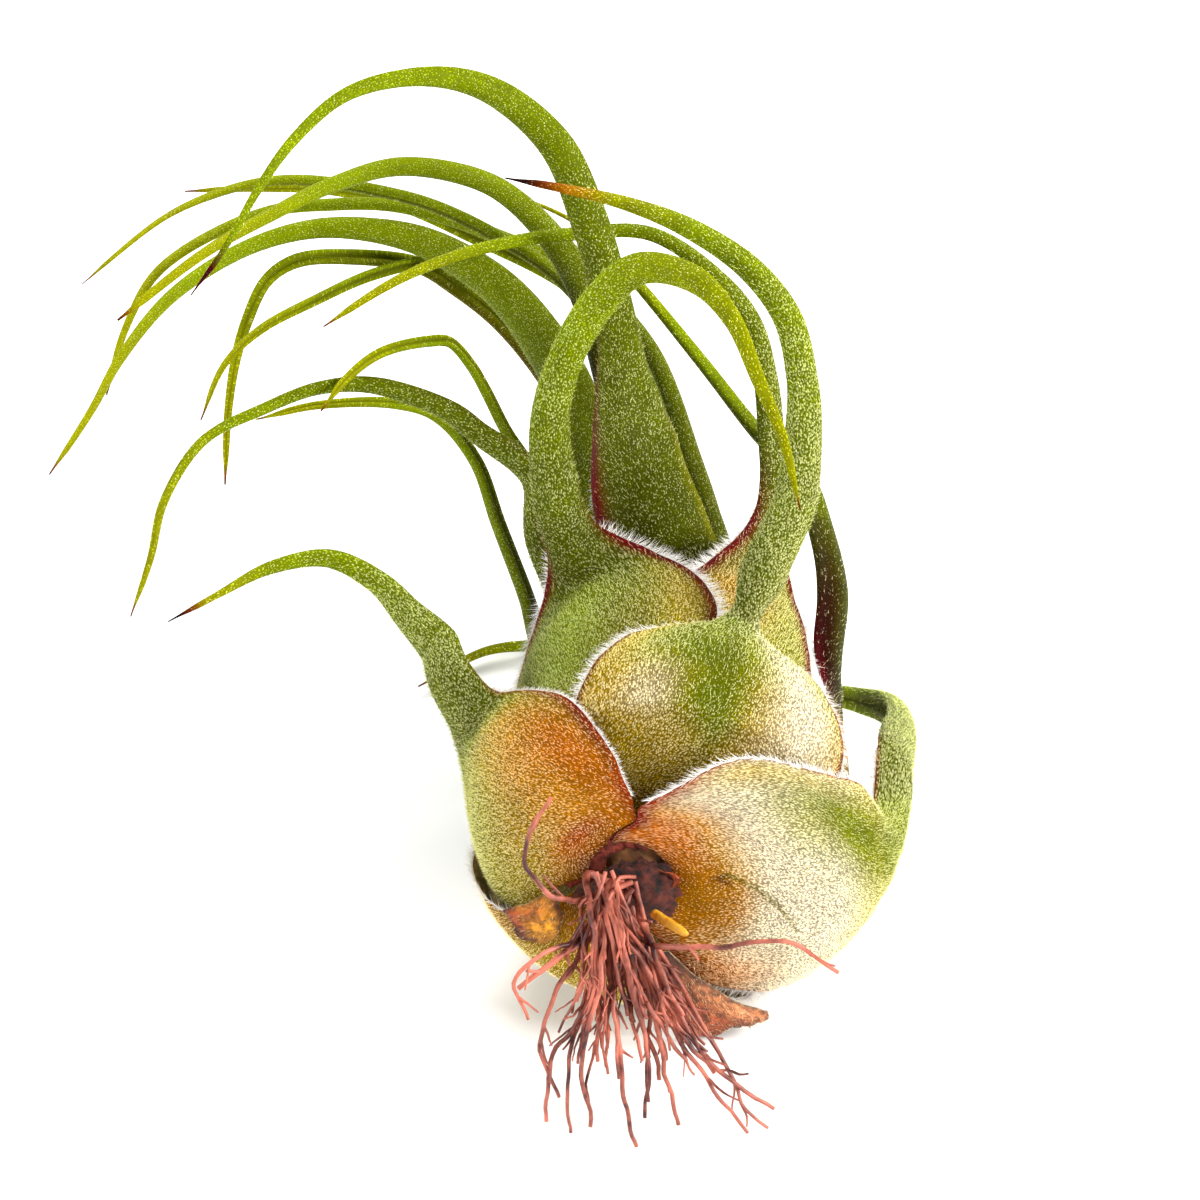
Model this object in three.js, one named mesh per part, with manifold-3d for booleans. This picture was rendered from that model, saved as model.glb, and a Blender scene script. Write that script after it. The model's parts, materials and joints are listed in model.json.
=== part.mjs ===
// An air plant, Tillandsia seleriana, picked and lying on its side on a table at z = 0.
// Lengths are millimetres and angles degrees. The roots point to -Y, the bulb's axis runs
// back along +Y, and most blades sweep to the left, towards -X.
import * as THREE from 'three';
import { mergeVertices } from 'three/addons/utils/BufferGeometryUtils.js';
import Module from 'manifold-3d';

const wasm = await Module();
wasm.setup();

// Driving sizes
const plantMiddle = [-16.5, 42.9];   // middle of the whole plant in plan, from the root collar
const axisHeight = 24.0;      // bulb axis above the table, a little less than the bulb's radius
const pressHeight = 0.7;      // a pressed leaf that comes this near the table lies on it
const axisLean = 5.7;         // the axis leans this far to the right
const bulbShift = 4.0;        // the bulb's middle lies this far right of the root collar
const viewTilt = 40;          // blades and roots are placed as seen from this far above the table
const sheathThickness = 1.0;
const marginThickness = 0.7;
const bladeWall = 1.3;        // wall of a channelled blade
const fullCurl = 105;         // a narrow blade's back turns this far to each side
const shoulderCurls = [58, 84, fullCurl];   // at the shoulder the blade is still opened out
const leadSteps = [6, 3, 0];  // places before the shoulder where a blade's line starts
const rowCrowding = 0.95;     // rows of a blade lie a little closer near its tip
const seatGap = 0.3;          // running gap between pieces that touch
const acrossSheath = 7;       // facets across a wide leaf
const acrossBlade = 4;        // facets across a narrow leaf
const sheathRows = 11;
const driedRows = 6;
const stemRings = 10;
const stemSides = 10;

// Outer skin of the bulb. The first number is the distance up the skin from the rim of the
// hollow base, negative inside the hollow, then the place along the axis and the radius.
const bulbSkin = [
  [-14.4, 1.7, 4.7],
  [-10.6, 0.8, 8.4],
  [-6.5, 0.1, 12.5],
  [-2.0, 0.6, 17.0],
  [2.7, 3.2, 20.8],
  [7.5, 7.5, 23.0],
  [13.0, 13.0, 23.9],
  [20.0, 20.0, 22.9],
  [28.0, 28.0, 20.6],
  [36.0, 36.0, 18.0],
  [44.0, 44.0, 15.4],
  [52.0, 52.0, 13.0],
  [60.0, 60.0, 11.0],
];
const skinFoot = bulbSkin[0][0];

// Short stem inside the bulb: place along the axis and radius
const stemProfile = [
  [2.4, 3.4],
  [6.0, 4.2],
  [14.0, 3.8],
  [24.0, 3.0],
  [32.0, 1.6],
];

const deg = THREE.MathUtils.degToRad;
const lerp = THREE.MathUtils.lerp;
const ease = THREE.MathUtils.smoothstep;

// A number read from rows of [place, value, ...], with a smooth curve between the rows
function readRows(rows, place, column) {
  const last = rows.length - 1;
  if (place <= rows[0][0]) return rows[0][column];
  if (place >= rows[last][0]) return rows[last][column];
  let i = 0;
  while (rows[i + 1][0] < place) i += 1;
  const slope = (k) => {
    const from = rows[Math.max(k - 1, 0)];
    const to = rows[Math.min(k + 1, last)];
    return (to[column] - from[column]) / (to[0] - from[0]);
  };
  const span = rows[i + 1][0] - rows[i][0];
  const t = (place - rows[i][0]) / span;
  const hermite = (2 * t - 3) * t * t;
  return (1 + hermite) * rows[i][column] - hermite * rows[i + 1][column]
    + span * t * (t - 1) * ((t - 1) * slope(i) + t * slope(i + 1));
}

// A place given from the root collar, measured from the plant's middle on the table instead
function fromCollar(right, back, up) {
  return new THREE.Vector3(right - plantMiddle[0], back - plantMiddle[1], axisHeight + up);
}

// A place in the bulb: distance along its axis, radius and azimuth, 0 right and 90 up
function onBulb(along, radius, azimuth) {
  const lean = deg(axisLean);
  const shift = bulbShift * Math.max(ease(radius, 5, 16), ease(along, 0, 12));
  const across = shift + radius * Math.cos(deg(azimuth));
  return fromCollar(
    across * Math.cos(lean) + along * Math.sin(lean),
    along * Math.cos(lean) - across * Math.sin(lean),
    radius * Math.sin(deg(azimuth)),
  );
}

// A place as seen from the root end: to the right, up and near, from the root collar
function fromView([right, up, near]) {
  const sine = Math.sin(deg(viewTilt));
  const cosine = Math.cos(deg(viewTilt));
  return fromCollar(right, up * sine - near * cosine, up * cosine + near * sine);
}

// Outer skin moved inward by a depth, as [along, radius]
function skinAt(place, depth) {
  const step = 0.5;
  const start = Math.max(place - step, skinFoot);
  const end = Math.max(place + step, skinFoot + step);
  const rise = readRows(bulbSkin, end, 1) - readRows(bulbSkin, start, 1);
  const spread = readRows(bulbSkin, end, 2) - readRows(bulbSkin, start, 2);
  const length = Math.hypot(rise, spread);
  return [
    readRows(bulbSkin, place, 1) + depth * spread / length,
    readRows(bulbSkin, place, 2) - depth * rise / length,
  ];
}

function stemRadius(along) {
  return readRows(stemProfile, along, 1);
}

// Middle surface of a sheath as [along, radius]. An outer sheath follows the skin from the
// hollow base, and an inner one opens like a cup from its own foot on the stem.
function sheathAt(leaf, place) {
  const depth = readRows(leaf.depth, place, 1);
  if (leaf.footAlong === undefined) {
    const [along, radius] = skinAt(place, depth);
    return [along, Math.max(radius, stemRadius(along) + seatGap)];
  }
  if (place >= leaf.joinAt) return skinAt(place, depth);
  const [joinAlong, joinRadius] = skinAt(leaf.joinAt, readRows(leaf.depth, leaf.joinAt, 1));
  const t = (place - leaf.footAt) / (leaf.joinAt - leaf.footAt);
  const footRadius = stemRadius(leaf.footAlong) + seatGap + sheathThickness / 2;
  return [
    lerp(leaf.footAlong, joinAlong, t),
    lerp(footRadius, joinRadius, Math.sin(t * Math.PI / 2)),
  ];
}

// One point of a sheath: offset is measured outward from its middle surface
function sheathPoint(leaf, place, azimuth, offset) {
  const step = 0.3;
  const from = sheathAt(leaf, Math.max(place - step, leaf.footAt));
  const to = sheathAt(leaf, place + step);
  const here = sheathAt(leaf, place);
  const length = Math.hypot(to[0] - from[0], to[1] - from[1]);
  const along = here[0] - offset * (to[1] - from[1]) / length;
  const radius = here[1] + offset * (to[0] - from[0]) / length;
  return onBulb(along, radius, azimuth);
}

// Square frames along a curve: the back direction starts as given and is carried along
function carryFrames(curve, fractions, firstBack, twist) {
  const frames = [];
  const back = firstBack.clone();
  let before = null;
  fractions.forEach((fraction) => {
    const tangent = curve.getTangentAt(fraction);
    if (before) {
      const turn = new THREE.Quaternion().setFromUnitVectors(before, tangent);
      back.applyQuaternion(turn);
    }
    back.addScaledVector(tangent, -back.dot(tangent)).normalize();
    const turned = back.clone().applyAxisAngle(tangent, deg(twist * fraction));
    frames.push({
      centre: curve.getPointAt(fraction),
      back: turned,
      side: new THREE.Vector3().crossVectors(tangent, turned),
    });
    before = tangent;
  });
  return frames;
}

// One row of a channelled blade: its back and its channel wall, from margin to margin. The
// back stays half a width from the blade's line however open the channel is.
function bladeRow(frame, width, curl, across) {
  const radius = width / 2 / Math.sin(deg(Math.min(curl, 90)));
  const inner = Math.max(radius - bladeWall, 0.15 * radius);
  const centre = frame.centre.clone().addScaledVector(frame.back, width / 2 - radius);
  const row = { outer: [], inner: [] };
  for (let j = 0; j <= across; j += 1) {
    const turn = deg(lerp(-curl, curl, j / across));
    const out = frame.back.clone().multiplyScalar(Math.cos(turn));
    out.addScaledVector(frame.side, Math.sin(turn));
    row.outer.push(centre.clone().addScaledVector(out, radius));
    row.inner.push(centre.clone().addScaledVector(out, inner));
  }
  return row;
}

// A closed solid from rows of back and front points, with both faces split alike
function solidFromRows(rows) {
  const across = rows[0].outer.length - 1;
  const stride = 2 * (across + 1);
  const positions = [];
  rows.forEach((row) => {
    [...row.outer, ...row.inner].forEach((point) => positions.push(point.x, point.y, point.z));
  });
  const outer = (k, j) => k * stride + j;
  const inner = (k, j) => k * stride + across + 1 + j;
  const faces = [];
  const quad = (a, b, c, d) => faces.push(a, b, c, a, c, d);
  for (let k = 0; k + 1 < rows.length; k += 1) {
    for (let j = 0; j < across; j += 1) {
      quad(outer(k, j), outer(k, j + 1), outer(k + 1, j + 1), outer(k + 1, j));
      faces.push(inner(k, j), inner(k + 1, j + 1), inner(k, j + 1));
      faces.push(inner(k, j), inner(k + 1, j), inner(k + 1, j + 1));
    }
    quad(inner(k, 0), outer(k, 0), outer(k + 1, 0), inner(k + 1, 0));
    quad(outer(k, across), inner(k, across), inner(k + 1, across), outer(k + 1, across));
  }
  const top = rows.length - 1;
  for (let j = 0; j < across; j += 1) {
    quad(inner(0, j), inner(0, j + 1), outer(0, j + 1), outer(0, j));
    quad(outer(top, j), outer(top, j + 1), inner(top, j + 1), inner(top, j));
  }
  const geometry = new THREE.BufferGeometry();
  geometry.setAttribute('position', new THREE.Float32BufferAttribute(positions, 3));
  geometry.setIndex(faces);
  return geometry;
}

// Turns a geometry inside out where its faces point inward
function facingOut(geometry) {
  const position = geometry.getAttribute('position');
  const index = geometry.getIndex();
  const corner = [0, 1, 2].map(() => new THREE.Vector3());
  let volume = 0;
  for (let i = 0; i < index.count; i += 3) {
    corner.forEach((point, k) => point.fromBufferAttribute(position, index.getX(i + k)));
    volume += corner[0].dot(new THREE.Vector3().crossVectors(corner[1], corner[2]));
  }
  if (volume < 0) {
    for (let i = 0; i < index.count; i += 3) {
      const second = index.getX(i + 1);
      index.setX(i + 1, index.getX(i + 2));
      index.setX(i + 2, second);
    }
  }
  return geometry;
}

// The underside is pressed flat where the plant lies on the table
function pressOnTable(point) {
  if (point.z < pressHeight) point.z = 0;
}

// A leaf whose sheath wraps the bulb between two edges and narrows to a blade at its shoulder
function sheathLeaf(leaf) {
  const shoulder = leaf.shoulder;
  const radius = leaf.widths[0] / 2;
  const curls = leaf.curls ?? shoulderCurls;
  const middle = (place) => {
    const azimuth = (readRows(leaf.edges, place, 1) + readRows(leaf.edges, place, 2)) / 2;
    return sheathPoint(leaf, place, azimuth, sheathThickness / 2 - radius);
  };
  const lead = leadSteps.map((step) => middle(shoulder - step));
  const curve = new THREE.CatmullRomCurve3([...lead, ...leaf.blade.map(fromView)], false, 'centripetal');
  curve.arcLengthDivisions = 600;
  const leadPart = (lead.length - 1) / (lead.length - 1 + leaf.blade.length);
  const bladeStart = arcFraction(curve, leadPart);

  const morphFrom = shoulder - leaf.neck;
  const places = [];
  for (let k = 0; k <= sheathRows; k += 1) {
    places.push(lerp(leaf.footAt, shoulder, 1 - (1 - k / sheathRows) ** 1.5));
  }
  const leadFractions = places.filter((place) => place > morphFrom).map((place) => {
    const along = 1 - (shoulder - place) / leadSteps[0];
    return Math.max(0, arcFraction(curve, leadPart * along));
  });
  const bladeFractions = [];
  for (let k = 1; k <= leaf.rows; k += 1) {
    bladeFractions.push(lerp(bladeStart, 1, (k / leaf.rows) ** rowCrowding));
  }
  const azimuth = (readRows(leaf.edges, shoulder, 1) + readRows(leaf.edges, shoulder, 2)) / 2;
  const axisPoint = onBulb(shoulder, 0, 0);
  const firstBack = onBulb(shoulder, 10, azimuth).sub(axisPoint).normalize();
  const frames = carryFrames(curve, [...leadFractions, ...bladeFractions], firstBack, leaf.twist ?? 0);

  const rows = places.map((place) => {
    const left = readRows(leaf.edges, place, 1);
    const right = readRows(leaf.edges, place, 2);
    const row = { outer: [], inner: [] };
    for (let j = 0; j <= acrossSheath; j += 1) {
      const t = j / acrossSheath;
      const half = lerp(marginThickness, sheathThickness, Math.sin(t * Math.PI)) / 2;
      row.outer.push(sheathPoint(leaf, place, lerp(left, right, t), half));
      row.inner.push(sheathPoint(leaf, place, lerp(left, right, t), -half));
    }
    return row;
  });
  if (leaf.pressed) {
    rows.forEach((row) => row.outer.forEach(pressOnTable));
  }
  const firstMorph = places.length - leadFractions.length;
  leadFractions.forEach((fraction, i) => {
    const k = firstMorph + i;
    const weight = ease(places[k], morphFrom, shoulder);
    const blade = bladeRow(frames[i], leaf.widths[0], curls[0], acrossSheath);
    ['outer', 'inner'].forEach((face) => {
      rows[k][face].forEach((point, j) => point.lerp(blade[face][j], weight));
    });
  });
  bladeFractions.forEach((fraction, i) => {
    const last = lead.length - 1 + leaf.blade.length;
    const spot = curve.getUtoTmapping(fraction) * last - (lead.length - 1);
    const frame = frames[leadFractions.length + i];
    rows.push(bladeRow(frame, valueAt(leaf.widths, spot), valueAt(curls, spot), acrossSheath));
  });
  return facingOut(solidFromRows(rows));
}

// A leaf that rises inside the bulb from its foot on the stem and shows only as a blade. Its
// channel is open toward the stem, so its line starts close to it.
function innerLeaf(leaf) {
  const hugging = 0.15;
  const [footAlong, footAzimuth] = leaf.foot;
  const footRadius = stemRadius(footAlong) + seatGap + hugging * leaf.widths[0];
  const rise = [onBulb(footAlong, footRadius, footAzimuth)];
  leaf.rise.forEach(([along, radius, azimuth]) => rise.push(onBulb(along, radius, azimuth)));
  const curve = new THREE.CatmullRomCurve3([...rise, ...leaf.blade.map(fromView)], false, 'centripetal');
  curve.arcLengthDivisions = 600;
  const last = rise.length - 1 + leaf.blade.length;
  const fractions = [];
  for (let k = 0; k <= leaf.rows; k += 1) {
    fractions.push((k / leaf.rows) ** rowCrowding);
  }
  const firstBack = onBulb(footAlong, footRadius, footAzimuth).sub(onBulb(footAlong, 0, 0)).normalize();
  const frames = carryFrames(curve, fractions, firstBack, leaf.twist ?? 0);
  const rows = frames.map((frame, k) => {
    const spot = curve.getUtoTmapping(fractions[k]) * last;
    return bladeRow(frame, valueAt(leaf.widths, spot), fullCurl, acrossBlade);
  });
  return facingOut(solidFromRows(rows));
}

// A value between the given ones, one for each place of the blade's line
function valueAt(values, spot) {
  const i = Math.min(Math.floor(Math.max(spot, 0)), values.length - 2);
  return lerp(values[i], values[i + 1], Math.min(Math.max(spot - i, 0), 1));
}

// Share of a curve's length at which its parameter reaches a value
function arcFraction(curve, parameter) {
  const lengths = curve.getLengths();
  const place = Math.min(Math.max(parameter, 0), 1) * (lengths.length - 1);
  const i = Math.min(Math.floor(place), lengths.length - 2);
  return lerp(lengths[i], lengths[i + 1], place - i) / lengths[lengths.length - 1];
}

// Leaves with a sheath that shows, from the outermost inward. Edges are rows of the place up
// the skin with the azimuths of the left and right margin, and depth is measured in from the
// skin. The blade's line is given as seen, with a width for the shoulder and each place.
const sheathLeaves = {
  leaf_left: {
    footAt: skinFoot,
    depth: [[-14.4, 0.7], [-8, 1.2], [0, 1.7], [8, 1.4], [13, 0.7], [21, -2.4]],
    edges: [[-14.4, 192, 124], [-11, 193, 92], [-8, 194, 98], [-4, 199, 106], [0, 204, 108], [8, 206, 118],
      [13, 202, 129], [17, 190, 139], [21, 178, 148]],
    shoulder: 21,
    neck: 11,
    blade: [[-18.3, 23.4, -11.5], [-20.8, 27.4, -14], [-24.4, 31.0, -16], [-28.5, 35.1, -18],
      [-34.3, 37.9, -18], [-41.2, 36.8, -15.5], [-47.5, 33.4, -12], [-52.9, 30.3, -10]],
    widths: [11.6, 8.8, 6.4, 4.8, 3.5, 2.8, 2.1, 1.1, 0.7],
    rows: 13,
  },
  leaf_right: {
    footAt: skinFoot,
    depth: [[-14.4, 0.7], [-8, 0.9], [-2, 1.0], [4, -0.2], [10, -2.2], [16, -3.6]],
    edges: [[-14.4, 116, -76], [-11, 84, -76], [-8, 83, -75], [-4, 78, -72], [0, 70, -62], [2.5, 60, -58],
      [5, 42, -55], [7.5, 30, -50], [10, 26, -42], [13, 22, -24], [16, 18, -5]],
    shoulder: 16,
    neck: 9,
    blade: [[30.1, 14.6, -19], [31.3, 17.6, -30], [30.7, 19.9, -42], [27.9, 20.8, -52], [24.6, 21.5, -59.5],
      [19.5, 22.6, -62.3], [12.5, 24.0, -63.6], [5.5, 25.4, -64.8]],
    widths: [9.4, 7.2, 5.4, 4.0, 3.2, 2.6, 2.0, 1.3, 0.7],
    curls: [78, 100, 105, 105, 105, 105, 105, 105, 105],
    rows: 15,
  },
  leaf_under: {
    pressed: true,
    footAt: skinFoot,
    depth: [[-14.4, 0], [20, 0], [30, 0.2]],
    edges: [[-14.4, 275, 199], [-9, 277, 202], [-4, 283, 204], [0, 293, 200], [8, 299, 197], [18, 298, 206],
      [26, 286, 232], [32, 274, 250], [36, 267, 255]],
    shoulder: 36,
    neck: 9,
    blade: [[6.0, 19.0, -52], [2.0, 24.6, -62.5], [-7.7, 27.3, -67.2], [-16.0, 27.0, -66.8],
      [-24.6, 22.5, -62.4]],
    widths: [5.0, 4.2, 3.2, 2.2, 1.5, 0.8],
    rows: 12,
  },
  leaf_top: {
    footAt: -6,
    footAlong: 6,
    joinAt: 8,
    depth: [[6, 3.4], [14, 1.0], [21, 0.1], [24, -0.8]],
    edges: [[-6, 122, 24], [8, 121, 25], [13, 114, 30], [17, 106, 40], [19.5, 98, 48], [21.3, 88, 56],
      [24, 81, 61]],
    shoulder: 24,
    neck: 6,
    blade: [[15.4, 34.9, -5.3], [17.8, 39.8, -7.2], [19.7, 44.3, -9], [20.7, 54.0, -12], [20.5, 58.3, -13],
      [18.9, 65.3, -15], [14.6, 71.1, -17.5], [7.6, 75.9, -20], [0.6, 78.8, -22.5], [-6.4, 80.6, -24.5],
      [-14.0, 82.1, -26]],
    widths: [8.2, 6.0, 5.4, 5.1, 4.3, 3.8, 3.6, 3.3, 2.7, 1.9, 1.3, 0.7],
    rows: 17,
  },
  leaf_front: {
    footAt: -2,
    footAlong: 9,
    joinAt: 14,
    depth: [[14, 5.1], [22, 3.3], [28, 1.0], [34, -0.8], [41, -3.0]],
    edges: [[-2, 172, 80], [14, 172, 79], [24, 172, 78], [29, 166, 80], [33, 158, 90], [37, 151, 104],
      [41, 145, 120]],
    shoulder: 41,
    neck: 9,
    blade: [[-7.0, 42.0, -19.5], [-8.2, 47.0, -20], [-8.7, 53.7, -20], [-6.9, 60.7, -19], [-2.9, 67.6, -16],
      [1.8, 71.3, -12.5], [8.7, 69.7, -7], [12.7, 65.1, -4.5], [15.6, 58.1, -3], [18.4, 51.2, -2.5],
      [20.2, 43.1, -2]],
    widths: [8.6, 6.6, 5.6, 4.7, 4.2, 4.3, 4.0, 3.6, 2.7, 2.1, 1.5, 0.7],
    rows: 19,
  },
  leaf_far_right: {
    footAt: -2,
    footAlong: 8,
    joinAt: 14,
    depth: [[14, 4.6], [20, 3.2], [26, 2.6]],
    edges: [[-2, 34, -42], [14, 34, -42], [20, 33, -36], [24, 29, -20], [28, 24, -4], [31, 20, 4]],
    shoulder: 31,
    neck: 7,
    blade: [[23.5, 32.8, -29], [22.3, 41.0, -37], [20.7, 46.9, -43], [15.5, 52.3, -50], [9.0, 60.8, -57],
      [2.0, 69.6, -62], [-2.9, 75.2, -64], [-6.0, 77.9, -65], [-13.2, 81.4, -66]],
    widths: [5.8, 5.4, 4.6, 3.4, 2.8, 2.4, 2.0, 1.2, 0.8, 0.6],
    curls: [75, 100, 105, 105, 105, 105, 105, 105, 105, 105],
    rows: 17,
  },
  leaf_mid_right: {
    footAt: 1,
    footAlong: 11,
    joinAt: 17,
    depth: [[17, 6.8], [26, 4.4], [36, 2.6], [49, 1.6]],
    edges: [[1, 95, 28], [17, 95, 28], [30, 94, 28], [38, 92, 28], [42, 84, 31], [46, 74, 37], [49, 66, 44]],
    shoulder: 49,
    neck: 8,
    blade: [[17.0, 44.5, -35], [17.0, 54.0, -42], [16.5, 58.8, -44], [14.9, 65.3, -46], [11.3, 70.4, -48],
      [3.1, 76.0, -49], [-5.8, 76.0, -48.5], [-14.7, 74.7, -44], [-21.7, 72.6, -40], [-27.6, 69.8, -35],
      [-35.3, 64.8, -30]],
    widths: [5.0, 4.0, 3.5, 3.3, 3.0, 2.4, 2.1, 2.0, 1.8, 1.6, 1.3, 0.7],
    rows: 19,
  },
  leaf_low_left: {
    footAt: 1,
    footAlong: 11,
    joinAt: 17,
    depth: [[17, 6.8], [26, 4.2], [36, 2.4]],
    edges: [[1, 204, 122], [17, 204, 122], [28, 204, 136], [34, 196, 146], [38, 186, 156], [41, 180, 163]],
    shoulder: 41,
    neck: 8,
    blade: [[-9.3, 39.8, -32], [-10.3, 47.5, -35], [-17.0, 52.8, -37], [-20.4, 55.4, -36], [-29.4, 58.4, -33],
      [-36.0, 58.0, -30], [-42.6, 55.4, -26], [-49.3, 51.7, -22], [-53.8, 44.4, -18], [-55.2, 37.8, -15],
      [-57.3, 30.9, -12]],
    widths: [5.0, 4.8, 4.2, 3.6, 3.4, 2.9, 2.4, 2.2, 1.9, 1.5, 1.2, 0.7],
    rows: 19,
  },
  leaf_tall: {
    footAt: 6,
    footAlong: 14,
    joinAt: 22,
    depth: [[22, 8.2], [34, 6.0], [44, 4.2], [52, 2.4]],
    edges: [[6, 160, 40], [22, 158, 40], [40, 158, 48], [46, 154, 60], [51, 148, 76]],
    shoulder: 51,
    neck: 8,
    blade: [[3.0, 44.0, -32.6], [1.6, 50.4, -36], [0.2, 57.0, -39.2], [-0.4, 62.3, -41], [-2.3, 71.7, -43],
      [-4.1, 77.6, -43], [-7.6, 85.9, -41], [-13.5, 91.6, -36], [-19.3, 94.0, -31], [-26.2, 94.0, -26],
      [-33.2, 91.6, -21], [-38.9, 86.3, -18], [-42.9, 80.4, -15], [-46.4, 73.9, -13], [-50.3, 68.1, -11]],
    widths: [14.0, 13.2, 11.2, 7.6, 5.5, 4.7, 4.7, 4.4, 3.9, 3.3, 2.6, 2.2, 1.9, 1.5, 1.1, 0.7],
    curls: [55, 60, 70, 85, 100, 105, 105, 105, 105, 105, 105, 105, 105, 105, 105, 105],
    rows: 21,
  },
};

// Leaves of which only the blade shows. The foot sits on the stem at a place and azimuth, the
// rise inside the bulb is given along the axis with radius and azimuth, and the widths count
// from the foot.
const innerLeaves = {
  leaf_broad: {
    foot: [17, 160],
    rise: [[30, 7.0, 172], [46, 9.2, 180], [56, 13.4, 161]],
    blade: [[-4.6, 54.1, -45], [-8.8, 63.0, -50], [-14.7, 70.2, -52], [-23.0, 75.3, -51], [-30.2, 77.0, -50],
      [-37.2, 77.0, -49], [-45.0, 74.6, -47], [-53.7, 68.8, -43], [-59.6, 61.3, -38], [-62.8, 55.1, -34],
      [-67.4, 47.5, -29]],
    widths: [4.6, 5.6, 6.2, 6.8, 7.0, 6.4, 5.4, 4.4, 3.5, 2.9, 2.4, 2.1, 1.7, 1.3, 0.8],
    rows: 24,
  },
  leaf_second: {
    foot: [19, 95],
    rise: [[32, 5.0, 110], [44, 5.0, 112], [55, 7.0, 133]],
    blade: [[-0.5, 56.5, -50], [-4.1, 68.5, -55], [-7.6, 74.5, -57], [-12.4, 79.8, -57], [-17.1, 82.7, -55],
      [-26.6, 84.2, -50], [-34.8, 81.8, -45], [-41.8, 78.2, -41], [-49.9, 73.3, -36], [-59.5, 65.6, -32]],
    widths: [3.6, 4.4, 4.8, 5.0, 5.2, 4.6, 3.6, 3.0, 2.7, 2.4, 2.0, 1.7, 1.3, 1.0],
    rows: 24,
  },
  leaf_lower_left: {
    foot: [14, 216],
    rise: [[26, 10.4, 205], [38, 14.2, 193]],
    blade: [[-9.6, 27.6, -37.5], [-11.1, 32.8, -41], [-14.7, 42.2, -46], [-17.3, 49.3, -47],
      [-21.8, 54.6, -45], [-26.8, 56.1, -42], [-36.2, 55.8, -38], [-43.3, 54.0, -34]],
    widths: [3.4, 3.6, 3.4, 3.0, 2.7, 2.5, 2.3, 2.1, 1.7, 1.2, 0.7],
    rows: 20,
  },
  leaf_short_arch: {
    foot: [20, 213],
    rise: [[34, 10.4, 211], [46, 14.2, 200]],
    blade: [[-7.6, 41.5, -41], [-10.5, 48.1, -43], [-13.7, 52.9, -44], [-16.0, 57.4, -44], [-17.8, 60.5, -43],
      [-20.4, 63.3, -41], [-22.7, 63.4, -39], [-28.5, 61.9, -33], [-32.4, 58.9, -29], [-35.5, 54.9, -26]],
    widths: [2.4, 2.6, 2.6, 2.4, 2.2, 2.1, 2.0, 1.9, 1.7, 1.6, 1.4, 1.1, 0.7],
    rows: 20,
  },
  leaf_channelled: {
    foot: [21, 250],
    rise: [[34, 7.0, 230], [48, 9.8, 213]],
    blade: [[-4.6, 50.6, -50.5], [-9.4, 59.5, -54], [-14.8, 66.1, -56], [-20.1, 70.3, -56.9],
      [-24.3, 72.7, -55.6], [-32.0, 73.6, -52], [-38.7, 73.1, -49], [-42.3, 70.7, -47],
      [-44.6, 65.9, -45], [-45.9, 61.4, -44], [-46.8, 54.8, -42], [-47.1, 46.4, -40]],
    widths: [2.4, 2.6, 2.7, 2.6, 2.5, 2.5, 2.5, 2.3, 2.1, 1.9, 1.6, 1.5, 1.3, 1.0, 0.7],
    rows: 24,
  },
  leaf_slim: {
    foot: [22, 288],
    rise: [[36, 5.8, 264], [52, 7.8, 238]],
    blade: [[-5.4, 58.4, -59], [-11.2, 66.4, -60.5], [-17.2, 71.8, -58.6], [-22.4, 73.0, -54.2],
      [-29.7, 71.3, -48.4], [-36.3, 68.2, -43.4], [-42.9, 64.5, -38.6], [-47.0, 60.4, -36],
      [-49.7, 53.9, -32]],
    widths: [2.2, 2.3, 2.3, 2.2, 2.1, 1.9, 1.7, 1.6, 1.5, 1.3, 1.0, 0.7],
    rows: 22,
  },
  leaf_back_high: {
    foot: [24, 3],
    rise: [[38, 5.0, 304], [56, 6.6, 262]],
    blade: [[-0.5, 61.2, -60], [-8.0, 71.0, -62], [-15.2, 75.8, -61], [-22.9, 79.5, -60], [-29.8, 81.3, -58],
      [-38.0, 82.4, -55], [-43.3, 82.1, -53], [-48.7, 80.6, -51], [-54.5, 77.8, -48], [-64.0, 70.1, -43]],
    widths: [2.4, 2.6, 2.7, 2.6, 2.5, 2.4, 2.3, 2.2, 2.0, 1.8, 1.6, 1.2, 0.7],
    rows: 22,
  },
  leaf_back_low: {
    foot: [24, 52],
    rise: [[40, 6.4, 342], [58, 6.4, 304]],
    blade: [[8.2, 48.3, -58.5], [2.6, 62.8, -64.5], [-5.4, 71.2, -66.5], [-14.5, 75.8, -66.8],
      [-26.8, 79.6, -65], [-35.1, 79.8, -62.4], [-43.4, 78.6, -58.4], [-55.1, 71.9, -51.4],
      [-59.1, 64.7, -47], [-61.2, 57.0, -44]],
    widths: [2.6, 2.9, 3.0, 3.0, 2.9, 2.7, 2.4, 2.1, 2.0, 1.8, 1.4, 1.0, 0.7],
    rows: 22,
  },
  leaf_hidden_tip: {
    foot: [23, 324],
    rise: [[40, 9.2, 290], [58, 11.0, 268]],
    blade: [[2.0, 60.5, -69], [-6.0, 70.0, -72], [-18.4, 76.5, -72], [-26.8, 80.1, -70], [-35.2, 81.8, -66.6],
      [-43.4, 81.9, -62.4], [-52.4, 81.5, -58.6]],
    widths: [2.0, 2.2, 2.3, 2.3, 2.1, 1.9, 1.7, 1.4, 1.0, 0.7],
    rows: 20,
  },
};

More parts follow.
